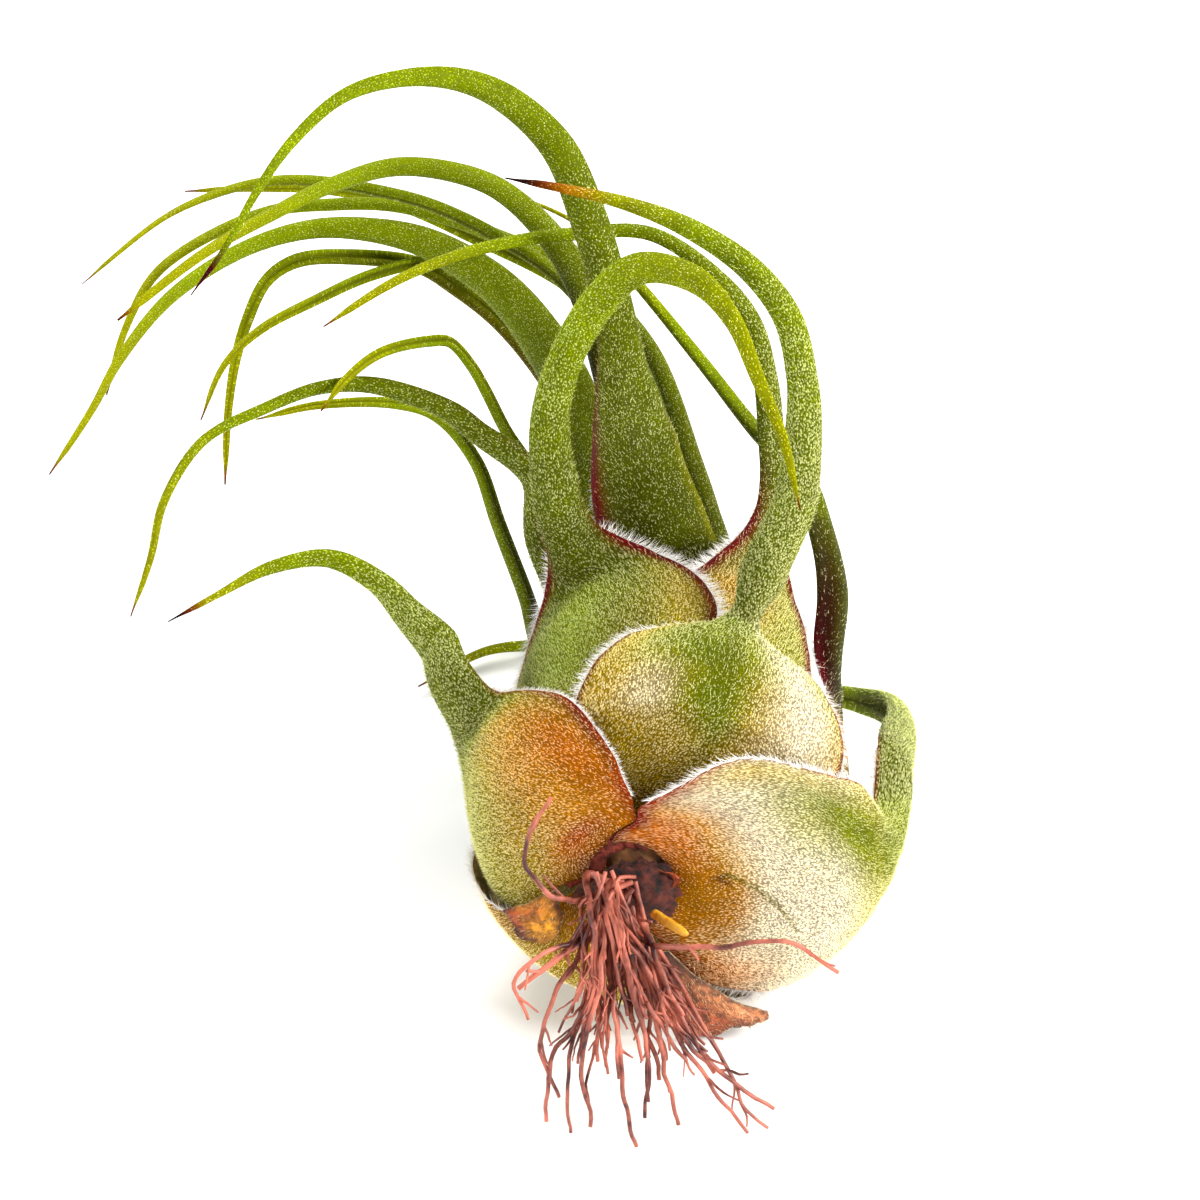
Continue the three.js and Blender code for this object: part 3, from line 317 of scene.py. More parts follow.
# Leaves that rise from the foot on the stem, given as distance and azimuth, through the places of
# rise, given as distance, radius and azimuth
innerLeaves = {
    "leaf_broad": {
        "foot": [17, 160],
        "rise": [[30, 7.0, 172], [46, 9.2, 180], [56, 13.4, 161]],
        "blade": [[-4.6, 54.1, -45], [-8.8, 63.0, -50], [-14.7, 70.2, -52], [-23.0, 75.3, -51],
            [-30.2, 77.0, -50], [-37.2, 77.0, -49], [-45.0, 74.6, -47], [-53.7, 68.8, -43],
            [-59.6, 61.3, -38], [-62.8, 55.1, -34], [-67.4, 47.5, -29]],
        "widths": [4.6, 5.6, 6.2, 6.8, 7.0, 6.4, 5.4, 4.4, 3.5, 2.9, 2.4, 2.1, 1.7, 1.3, 0.8],
    },
    "leaf_second": {
        "foot": [19, 95],
        "rise": [[32, 5.0, 110], [44, 5.0, 112], [55, 7.0, 133]],
        "blade": [[-0.5, 56.5, -50], [-4.1, 68.5, -55], [-7.6, 74.5, -57], [-12.4, 79.8, -57],
            [-17.1, 82.7, -55], [-26.6, 84.2, -50], [-34.8, 81.8, -45], [-41.8, 78.2, -41],
            [-49.9, 73.3, -36], [-59.5, 65.6, -32]],
        "widths": [3.6, 4.4, 4.8, 5.0, 5.2, 4.6, 3.6, 3.0, 2.7, 2.4, 2.0, 1.7, 1.3, 1.0],
    },
    "leaf_lower_left": {
        "foot": [14, 216],
        "rise": [[26, 10.4, 205], [38, 14.2, 193]],
        "blade": [[-9.6, 27.6, -37.5], [-11.1, 32.8, -41], [-14.7, 42.2, -46], [-17.3, 49.3, -47],
            [-21.8, 54.6, -45], [-26.8, 56.1, -42], [-36.2, 55.8, -38], [-43.3, 54.0, -34]],
        "widths": [3.4, 3.6, 3.4, 3.0, 2.7, 2.5, 2.3, 2.1, 1.7, 1.2, 0.7],
    },
    "leaf_short_arch": {
        "foot": [20, 213],
        "rise": [[34, 10.4, 211], [46, 14.2, 200]],
        "blade": [[-7.6, 41.5, -41], [-10.5, 48.1, -43], [-13.7, 52.9, -44], [-16.0, 57.4, -44],
            [-17.8, 60.5, -43], [-20.4, 63.3, -41], [-22.7, 63.4, -39], [-28.5, 61.9, -33],
            [-32.4, 58.9, -29], [-35.5, 54.9, -26]],
        "widths": [2.4, 2.6, 2.6, 2.4, 2.2, 2.1, 2.0, 1.9, 1.7, 1.6, 1.4, 1.1, 0.7],
    },
    "leaf_channelled": {
        "foot": [21, 250],
        "rise": [[34, 7.0, 230], [48, 9.8, 213]],
        "blade": [[-4.6, 50.6, -50.5], [-9.4, 59.5, -54], [-14.8, 66.1, -56], [-20.1, 70.3, -56.9],
            [-24.3, 72.7, -55.6], [-32.0, 73.6, -52], [-38.7, 73.1, -49], [-42.3, 70.7, -47],
            [-44.6, 65.9, -45], [-45.9, 61.4, -44], [-46.8, 54.8, -42], [-47.1, 46.4, -40]],
        "widths": [2.4, 2.6, 2.7, 2.6, 2.5, 2.5, 2.5, 2.3, 2.1, 1.9, 1.6, 1.5, 1.3, 1.0, 0.7],
    },
    "leaf_slim": {
        "foot": [22, 288],
        "rise": [[36, 5.8, 264], [52, 7.8, 238]],
        "blade": [[-5.4, 58.4, -59], [-11.2, 66.4, -60.5], [-17.2, 71.8, -58.6], [-22.4, 73.0, -54.2],
            [-29.7, 71.3, -48.4], [-36.3, 68.2, -43.4], [-42.9, 64.5, -38.6], [-47.0, 60.4, -36],
            [-49.7, 53.9, -32]],
        "widths": [2.2, 2.3, 2.3, 2.2, 2.1, 1.9, 1.7, 1.6, 1.5, 1.3, 1.0, 0.7],
    },
    "leaf_back_high": {
        "foot": [24, 3],
        "rise": [[38, 5.0, 304], [56, 6.6, 262]],
        "blade": [[-0.5, 61.2, -60], [-8.0, 71.0, -62], [-15.2, 75.8, -61], [-22.9, 79.5, -60],
            [-29.8, 81.3, -58], [-38.0, 82.4, -55], [-43.3, 82.1, -53], [-48.7, 80.6, -51],
            [-54.5, 77.8, -48], [-64.0, 70.1, -43]],
        "widths": [2.4, 2.6, 2.7, 2.6, 2.5, 2.4, 2.3, 2.2, 2.0, 1.8, 1.6, 1.2, 0.7],
    },
    "leaf_back_low": {
        "foot": [24, 52],
        "rise": [[40, 6.4, 342], [58, 6.4, 304]],
        "blade": [[8.2, 48.3, -58.5], [2.6, 62.8, -64.5], [-5.4, 71.2, -66.5], [-14.5, 75.8, -66.8],
            [-26.8, 79.6, -65], [-35.1, 79.8, -62.4], [-43.4, 78.6, -58.4], [-55.1, 71.9, -51.4],
            [-59.1, 64.7, -47], [-61.2, 57.0, -44]],
        "widths": [2.6, 2.9, 3.0, 3.0, 2.9, 2.7, 2.4, 2.1, 2.0, 1.8, 1.4, 1.0, 0.7],
    },
    "leaf_hidden_tip": {
        "foot": [23, 324],
        "rise": [[40, 9.2, 290], [58, 11.0, 268]],
        "blade": [[2.0, 60.5, -69], [-6.0, 70.0, -72], [-18.4, 76.5, -72], [-26.8, 80.1, -70],
            [-35.2, 81.8, -66.6], [-43.4, 81.9, -62.4], [-52.4, 81.5, -58.6]],
        "widths": [2.0, 2.2, 2.3, 2.3, 2.1, 1.9, 1.7, 1.4, 1.0, 0.7],
    },
}
# Dried outer sheaths, up to their torn top
driedSheaths = {
    "dried_sheath_right": {
        "footAt": -9, "top": 5,
        "depth": [[-9, -1.3], [-3, -1.6], [0, -2.6], [3, -3.4], [5, -3.2]],
        "edges": [[-9, 252, 291], [-5, 262, 294], [0, 270, 303], [2, 278, 304], [5, 288, 296]],
    },
    "dried_sheath_left": {
        "footAt": -9, "top": -1,
        "depth": [[-9, -1.3], [0, -1.5]],
        "edges": [[-9, 206, 186], [-5, 214, 188], [-1, 208, 194]],
    },
}
# Roots: thickness, then places as seen from the root end
roots = [
    [0.95, [-4.0, 1.4, 1.5], [-4.2, -1.4, 5.0], [-3.6, -6.0, 7.0], [-3.0, -15.6, 4.6]],
    [0.95, [-2.5, 0.0, 1.5], [-0.8, -5.8, 6.5], [0.9, -11.4, 6.0], [4.0, -22.4, 2.2]],
    [0.9, [-1.4, -2.2, 1.0], [1.6, -7.8, 6.0], [5.9, -15.4, 4.6], [9.7, -20.2, 1.8]],
    [0.8, [-3.6, -8.0, 4.0], [-4.4, -13.0, 5.2], [-8.6, -20.6, 3.6], [-9.2, -27.2, 0.8]],
    [0.85, [-3.1, -2.0, 2.0], [-3.4, -11.4, 6.4], [-5.0, -20.2, 4.6], [-3.8, -27.6, 1.0]],
    [0.7, [-5.6, -15.8, 4.9], [-6.6, -23.4, 3.4], [-6.4, -28.2, 1.0]],
    [0.85, [-1.7, -6.0, 3.0], [-0.8, -17.4, 5.8], [0.4, -27.0, 2.6], [1.4, -30.2, 0.6]],
    [0.85, [1.4, -6.0, 2.0], [3.4, -14.6, 5.2], [5.0, -23.4, 3.0], [6.2, -27.4, 1.0]],
    [0.85, [2.4, -6.6, 1.0], [5.8, -16.4, 4.6], [13.2, -23.0, 2.6], [17.2, -25.8, 1.0]],
    [0.75, [4.4, -14.6, 4.3], [10.2, -23.6, 3.4], [14.2, -28.4, 0.9]],
    [0.7, [12.4, -22.3, 2.8], [14.0, -26.0, 2.2], [16.4, -27.8, 1.0]],
    [1.1, [-3.4, -3.6, 1.0], [-7.4, -7.8, 6.6], [-10.2, -10.2, 7.6], [-12.2, -11.6, 7.4]],
    [0.75, [-5.0, -6.0, 4.8], [-9.4, -7.8, 8.4], [-12.6, -10.6, 8.8], [-11.2, -15.4, 7.0]],
    [0.75, [-4.8, -7.0, 4.4], [-8.0, -12.4, 6.6], [-9.8, -18.2, 5.0], [-7.6, -24.2, 2.4]],
    [0.8, [-2.6, -1.0, 1.2], [-8.0, -1.2, 8.0], [-11.4, 2.6, 9.4], [-10.4, 7.0, 9.8], [-8.4, 10.2, 10.4]],
    [0.85, [0.4, -4.4, 1.0], [4.4, -7.0, 7.0], [11.6, -6.8, 10.0], [18.0, -6.2, 10.6], [24.4, -9.8, 8.6]],
    [0.9, [0.8, -0.6, 0.6], [2.4, -5.4, 5.0], [4.4, -10.6, 6.0], [6.6, -14.8, 5.2]],
    [0.8, [-0.4, -2.6, 1.2], [0.2, -9.4, 6.4], [2.6, -19.6, 4.4], [2.2, -26.6, 1.6]],
]
youngRoot = {
    "from": [3.0, -3.0, 1.2], "to": [7.2, -5.6, 5.6], "radius": 1.7,
    "thick": 0.33, "sink": 1.1, "rings": 24, "sides": 14,
}


def toLinear(value):
    value = np.asarray(value, float) / 255
    return np.where(value <= 0.04045, value / 12.92, ((value + 0.055) / 1.055) ** 2.4)


def ease(x, low, high):
    t = np.clip((np.asarray(x, float) - low) / (high - low), 0, 1)
    return t * t * (3 - 2 * t)


def mix(a, b, t):
    return a + (b - a) * t


def unit(vectors):
    return vectors / np.maximum(np.linalg.norm(vectors, axis=-1, keepdims=True), 1e-12)


# Lengths run along a line of points, and across each row of a grid of points
def runAlong(points):
    return np.concatenate([[0], np.cumsum(np.linalg.norm(np.diff(points, axis=0), axis=1))])


def runAcross(rows):
    steps = np.cumsum(np.linalg.norm(np.diff(rows, axis=1), axis=2), axis=1)
    return np.concatenate([np.zeros((len(rows), 1)), steps], axis=1)


def noiseAt(places, frequency=1.0):
    values = [noise.noise(Vector(place) * frequency) for place in places.reshape(-1, 3)]
    return np.array(values).reshape(places.shape[:-1])


def fractalAt(x, y, z, octaves):
    x, y, z = (part.ravel() for part in np.broadcast_arrays(x, y, z))
    return np.array([noise.fractal(Vector(place), 1.0, 2.0, octaves) for place in zip(x, y, z)])


# A number read from rows of (place, value, ...), with a smooth curve between the rows
def readRows(rows, place, column):
    table = np.array(rows, float)
    x, y = table[:, 0], table[:, column]
    slope = np.empty(len(x))
    slope[1:-1] = (y[2:] - y[:-2]) / (x[2:] - x[:-2])
    slope[0] = (y[1] - y[0]) / (x[1] - x[0])
    slope[-1] = (y[-1] - y[-2]) / (x[-1] - x[-2])
    place = np.clip(np.asarray(place, float), x[0], x[-1])
    i = np.clip(np.searchsorted(x, place, "left") - 1, 0, len(x) - 2)
    span = x[i + 1] - x[i]
    t = (place - x[i]) / span
    hermite = (2 * t - 3) * t * t
    bend = span * t * (t - 1) * ((t - 1) * slope[i] + t * slope[i + 1])
    return (1 + hermite) * y[i] - hermite * y[i + 1] + bend


def fromCollar(right, back, up):
    right, back, up = np.broadcast_arrays(right, back, up)
    middle = bulb["middle"]
    return np.stack([right - middle[0], back - middle[1], bulb["height"] + up], axis=-1)


# A place in the bulb: distance along its axis, radius and azimuth, 0 right and 90 up
def onBulb(along, radius, azimuth):
    lean, turn = math.radians(bulb["lean"]), np.radians(azimuth)
    shift = bulb["shift"] * np.maximum(ease(radius, *bulb["shiftRadii"]), ease(along, *bulb["shiftAlong"]))
    across = shift + radius * np.cos(turn)
    right = across * math.cos(lean) + along * math.sin(lean)
    back = along * math.cos(lean) - across * math.sin(lean)
    return fromCollar(right, back, radius * np.sin(turn))


# A place as seen from the root end: to the right, up and near, from the root collar
def fromView(place):
    right, up, near = np.asarray(place, float).T
    tilt = math.radians(bulb["viewTilt"])
    sine, cosine = math.sin(tilt), math.cos(tilt)
    return fromCollar(right, up * sine - near * cosine, up * cosine + near * sine)


def skinAt(place, depth):
    foot, step = bulb["skinFoot"], bulb["skinStep"]
    start = np.maximum(place - step, foot)
    end = np.maximum(place + step, foot + step)
    rise = readRows(bulbSkin, end, 1) - readRows(bulbSkin, start, 1)
    spread = readRows(bulbSkin, end, 2) - readRows(bulbSkin, start, 2)
    length = np.hypot(rise, spread)
    along = readRows(bulbSkin, place, 1) + depth * spread / length
    return along, readRows(bulbSkin, place, 2) - depth * rise / length


def stemRadius(along):
    return readRows(stemProfile, along, 1)


# Middle surface of a sheath as (along, radius)
def sheathAt(leaf, place):
    place = np.asarray(place, float)
    outer = skinAt(place, readRows(leaf["depth"], place, 1))
    if "footAlong" not in leaf:
        return outer[0], np.maximum(outer[1], stemRadius(outer[0]) + wall["seatGap"])
    joinAt, footAlong = leaf["joinAt"], leaf["footAlong"]
    joinAlong, joinRadius = skinAt(np.array(joinAt, float), readRows(leaf["depth"], joinAt, 1))
    t = (place - leaf["footAt"]) / (joinAt - leaf["footAt"])
    footRadius = stemRadius(footAlong) + wall["seatGap"] + wall["sheath"] / 2
    cupAlong = mix(footAlong, joinAlong, t)
    cupRadius = mix(footRadius, joinRadius, np.sin(np.clip(t, 0, 1) * math.pi / 2))
    joined = place >= joinAt
    return np.where(joined, outer[0], cupAlong), np.where(joined, outer[1], cupRadius)


def sheathPoint(leaf, place, azimuth, offset):
    step = bulb["sheathStep"]
    before = sheathAt(leaf, np.maximum(place - step, leaf["footAt"]))
    after = sheathAt(leaf, place + step)
    here = sheathAt(leaf, place)
    rise, spread = after[0] - before[0], after[1] - before[1]
    length = np.hypot(rise, spread)
    return onBulb(here[0] - offset * spread / length, here[1] + offset * rise / length, azimuth)


def splineAt(points, t):
    last = len(points) - 1
    place = np.clip(np.asarray(t, float), 0, 1) * last
    i = np.minimum(np.floor(place).astype(int), last - 1)
    weight = (place - i)[:, None]
    padded = np.vstack([2 * points[0] - points[1], points, 2 * points[-1] - points[-2]])
    p0, p1, p2, p3 = (padded[i + k] for k in range(4))
    shadedGaps = [np.linalg.norm(b - a, axis=1, keepdims=True) ** 0.5 for a, b in ((p0, p1), (p1, p2), (p2, p3))]
    middle = np.maximum(shadedGaps[1], 1e-4)
    first = np.where(shadedGaps[0] < 1e-4, middle, shadedGaps[0])
    third = np.where(shadedGaps[2] < 1e-4, middle, shadedGaps[2])
    t1 = ((p1 - p0) / first - (p2 - p0) / (first + middle) + (p2 - p1) / middle) * middle
    t2 = ((p2 - p1) / middle - (p3 - p1) / (middle + third) + (p3 - p2) / third) * middle
    c2 = -3 * p1 + 3 * p2 - 2 * t1 - t2
    c3 = 2 * p1 - 2 * p2 + t1 + t2
    return p1 + weight * (t1 + weight * (c2 + weight * c3))


# Centripetal spline through places, with the share of its length at even steps of its parameter
def splineThrough(points, divisions=900):
    points = np.asarray(points, float)
    t = np.linspace(0, 1, divisions + 1)
    lengths = runAlong(splineAt(points, t))
    return {"points": points, "last": len(points) - 1, "t": t, "share": lengths / lengths[-1],
            "length": lengths[-1]}


# Square frames along a spline, with the back direction carried along from where it starts
def carryFrames(spline, shares, firstBack):
    t = np.interp(shares, spline["share"], spline["t"])
    tangents = unit(splineAt(spline["points"], t + 1e-4) - splineAt(spline["points"], t - 1e-4))
    backs, back, before = [], Vector(firstBack), None
    for tangent in tangents:
        line = Vector(tangent)
        if before is not None:
            back.rotate(before.rotation_difference(line))
        back = (back - line * back.dot(line)).normalized()
        backs.append(back.copy())
        before = line
    backs = np.array(backs)
    return splineAt(spline["points"], t), backs, np.cross(tangents, backs), t


# Back and channel wall of a blade, from margin to margin, for every row
def bladeRows(centres, backs, sides, widths, curls, across):
    curls = np.radians(curls)
    radius = widths / 2 / np.sin(np.minimum(curls, math.pi / 2))
    inner = np.maximum(radius - wall["blade"], wall["core"] * radius)
    middle = centres + backs * (widths / 2 - radius)[:, None]
    turn = curls[:, None] * np.linspace(-1, 1, across + 1)[None, :]
    out = np.cos(turn)[..., None] * backs[:, None, :] + np.sin(turn)[..., None] * sides[:, None, :]
    amount, power = wall["rounding"]
    rounding = 1 - amount * (np.abs(np.linspace(-1, 1, across + 1)) ** power)[None, :]
    gap = (radius - inner)[:, None] * rounding
    shift = (radius - inner)[:, None] * (1 - rounding) / 2
    outer = middle[:, None, :] + out * (radius[:, None] - shift)[..., None]
    return outer, middle[:, None, :] + out * (radius[:, None] - shift - gap)[..., None]


# The last few millimetres of a blade dry to a thread
def tipTaper(shares, length):
    return mix(wall["tip"][0], 1.0, ease((1 - shares) * length, 0, wall["tip"][1]))


def valueAt(values, spot):
    return np.interp(spot, np.arange(len(values)), values)


# Lets a sheath run into its blade in one sweep, over a length before and after the shoulder
def smoothNeck(outer, inner, shoulderRow, reach):
    length = runAlong((outer[:, outer.shape[1] // 2] + inner[:, inner.shape[1] // 2]) / 2)
    first = int(np.searchsorted(length, length[shoulderRow] - reach[0]))
    last = int(np.searchsorted(length, length[shoulderRow] + reach[1]))
    first, last = max(first, 1), min(last, len(length) - 2)
    span = length[last] - length[first]
    s = ((length[first:last + 1] - length[first]) / span)[:, None, None]
    for face in (outer, inner):
        slopes = [(face[k + 1] - face[k - 1]) / (length[k + 1] - length[k - 1]) * span for k in (first, last)]
        start, end = face[first].copy(), face[last].copy()
        face[first:last + 1] = ((2 * s ** 3 - 3 * s ** 2 + 1) * start + (s ** 3 - 2 * s ** 2 + s) * slopes[0]
                                + (3 * s ** 2 - 2 * s ** 3) * end + (s ** 3 - s ** 2) * slopes[1])


# Rows of outer and inner points for a leaf whose sheath wraps the bulb, with its growth from 0
# at the foot through 1 at the shoulder to 2 at the tip
def sheathLeafRows(leaf, detail):
    shoulder, across = leaf["shoulder"], detail["across"]
    widths = np.array(leaf["widths"], float)
    curls = leaf.get("curls", wall["shoulderCurls"])
    leadSteps = wall["leadSteps"]
    leadPlaces = np.array([shoulder - step for step in leadSteps], float)
    middles = (readRows(leaf["edges"], leadPlaces, 1) + readRows(leaf["edges"], leadPlaces, 2)) / 2
    lead = sheathPoint(leaf, leadPlaces, middles, wall["sheath"] / 2 - widths[0] / 2)
    spline = splineThrough(np.vstack([lead, fromView(leaf["blade"])]))
    leadPart = (len(lead) - 1) / spline["last"]
    bladeStart = np.interp(leadPart, spline["t"], spline["share"])

    k = np.linspace(0, 1, detail["sheathRows"])
    sheathCrowding, bladeCrowding = wall["crowding"]
    places = mix(leaf["footAt"], shoulder, 1 - (1 - k) ** sheathCrowding)
    morphFrom = shoulder - leaf["neck"]
    leading = places > morphFrom
    along = 1 - (shoulder - places[leading]) / leadSteps[0]
    leadShares = np.maximum(0, np.interp(leadPart * along, spline["t"], spline["share"]))
    bladeShares = mix(bladeStart, 1, np.linspace(0, 1, detail["bladeRows"] + 1)[1:] ** bladeCrowding)
    shares = np.concatenate([leadShares, bladeShares])
    firstBack = onBulb(shoulder, 10, middles[-1]) - onBulb(shoulder, 0, 0)
    centres, backs, sides, t = carryFrames(spline, shares, unit(firstBack))

    u = np.linspace(0, 1, across + 1)[None, :]
    left = readRows(leaf["edges"], places, 1)[:, None]
    right = readRows(leaf["edges"], places, 2)[:, None]
    azimuth = mix(left, right, u)
    half = mix(wall["margin"], wall["sheath"], np.sin(u * math.pi)) / 2
    column = places[:, None] + 0 * u
    outer = sheathPoint(leaf, column, azimuth, half + 0 * column)
    sweep = runAcross(outer)
    toRim = np.minimum(sweep, sweep[:, -1:] - sweep)
    thick = mix(wall["lip"], 2 * half, ease(toRim, 0, wall["lipReach"]))
    inner = sheathPoint(leaf, column, azimuth, half - thick)
    if leaf.get("pressed"):
        outer[..., 2] = np.where(outer[..., 2] < bulb["pressHeight"], 0, outer[..., 2])

    leads = len(leadShares)
    first = len(places) - leads
    neckRows = bladeRows(centres[:leads], backs[:leads], sides[:leads],
                         np.full(leads, widths[0]), np.full(leads, float(curls[0])), across)
    weight = ease(places[first:], morphFrom, shoulder)[:, None, None]
    outer[first:] = mix(outer[first:], neckRows[0], weight)
    inner[first:] = mix(inner[first:], neckRows[1], weight)

    spot = t[leads:] * spline["last"] - (len(lead) - 1)
    bladeWidths = valueAt(widths, spot) * tipTaper(bladeShares, spline["length"])
    blade = bladeRows(centres[leads:], backs[leads:], sides[leads:],
                      bladeWidths, valueAt(curls, spot), across)
    growth = np.concatenate([k, 1 + (bladeShares - bladeStart) / (1 - bladeStart)])
    outer, inner = np.concatenate([outer, blade[0]]), np.concatenate([inner, blade[1]])
    smoothNeck(outer, inner, len(places) - 1, detail["neck"])
    return outer, inner, growth


# Rows for a leaf that rises inside the bulb and shows only as a blade
def innerLeafRows(leaf, detail):
    footAlong, footAzimuth = leaf["foot"]
    footRadius = stemRadius(footAlong) + wall["seatGap"] + wall["hugging"] * leaf["widths"][0]
    rise = [onBulb(footAlong, footRadius, footAzimuth)] + [onBulb(*place) for place in leaf["rise"]]
    spline = splineThrough(np.vstack([rise, fromView(leaf["blade"])]))
    shares = np.linspace(0, 1, detail["rows"] + 1) ** wall["crowding"][1]
    centres, backs, sides, t = carryFrames(spline, shares, unit(rise[0] - onBulb(footAlong, 0, 0)))
    widths = valueAt(leaf["widths"], t * spline["last"]) * tipTaper(shares, spline["length"])
    curls = np.full(len(shares), wall["fullCurl"])
    outer, inner = bladeRows(centres, backs, sides, widths, curls, detail["across"])
    shoulder = np.interp((len(rise) - 1) / spline["last"], spline["t"], spline["share"])
    growth = np.where(shares < shoulder, shares / shoulder, 1 + (shares - shoulder) / (1 - shoulder))
    return outer, inner, growth


# Tones of the living and the dried tissue, as seen in full light
tones = {
    "ivory": (248, 236, 212), "cream": (238, 216, 166), "tan": (204, 172, 106), "straw": (214, 182, 84),
    "amber": (232, 156, 24), "orange": (250, 134, 30), "blush": (236, 158, 104), "pink": (196, 74, 74),
    "crimson": (136, 18, 36), "maroon": (70, 20, 18), "rust": (160, 70, 28),
    "brown": (96, 42, 20), "umber": (48, 22, 14), "olive": (134, 120, 30),
    "sage": (168, 166, 76), "leafGreen": (128, 142, 4), "midGreen": (106, 114, 3),
    "darkGreen": (60, 64, 4), "limeGreen": (178, 200, 18), "tipYellow": (206, 208, 44),
    "purple": (84, 30, 44),
}
toneDepth = 0.86               # keeps the tones clear of the bright studio light
toneColours = {name: toLinear(value) * toneDepth for name, value in tones.items()}
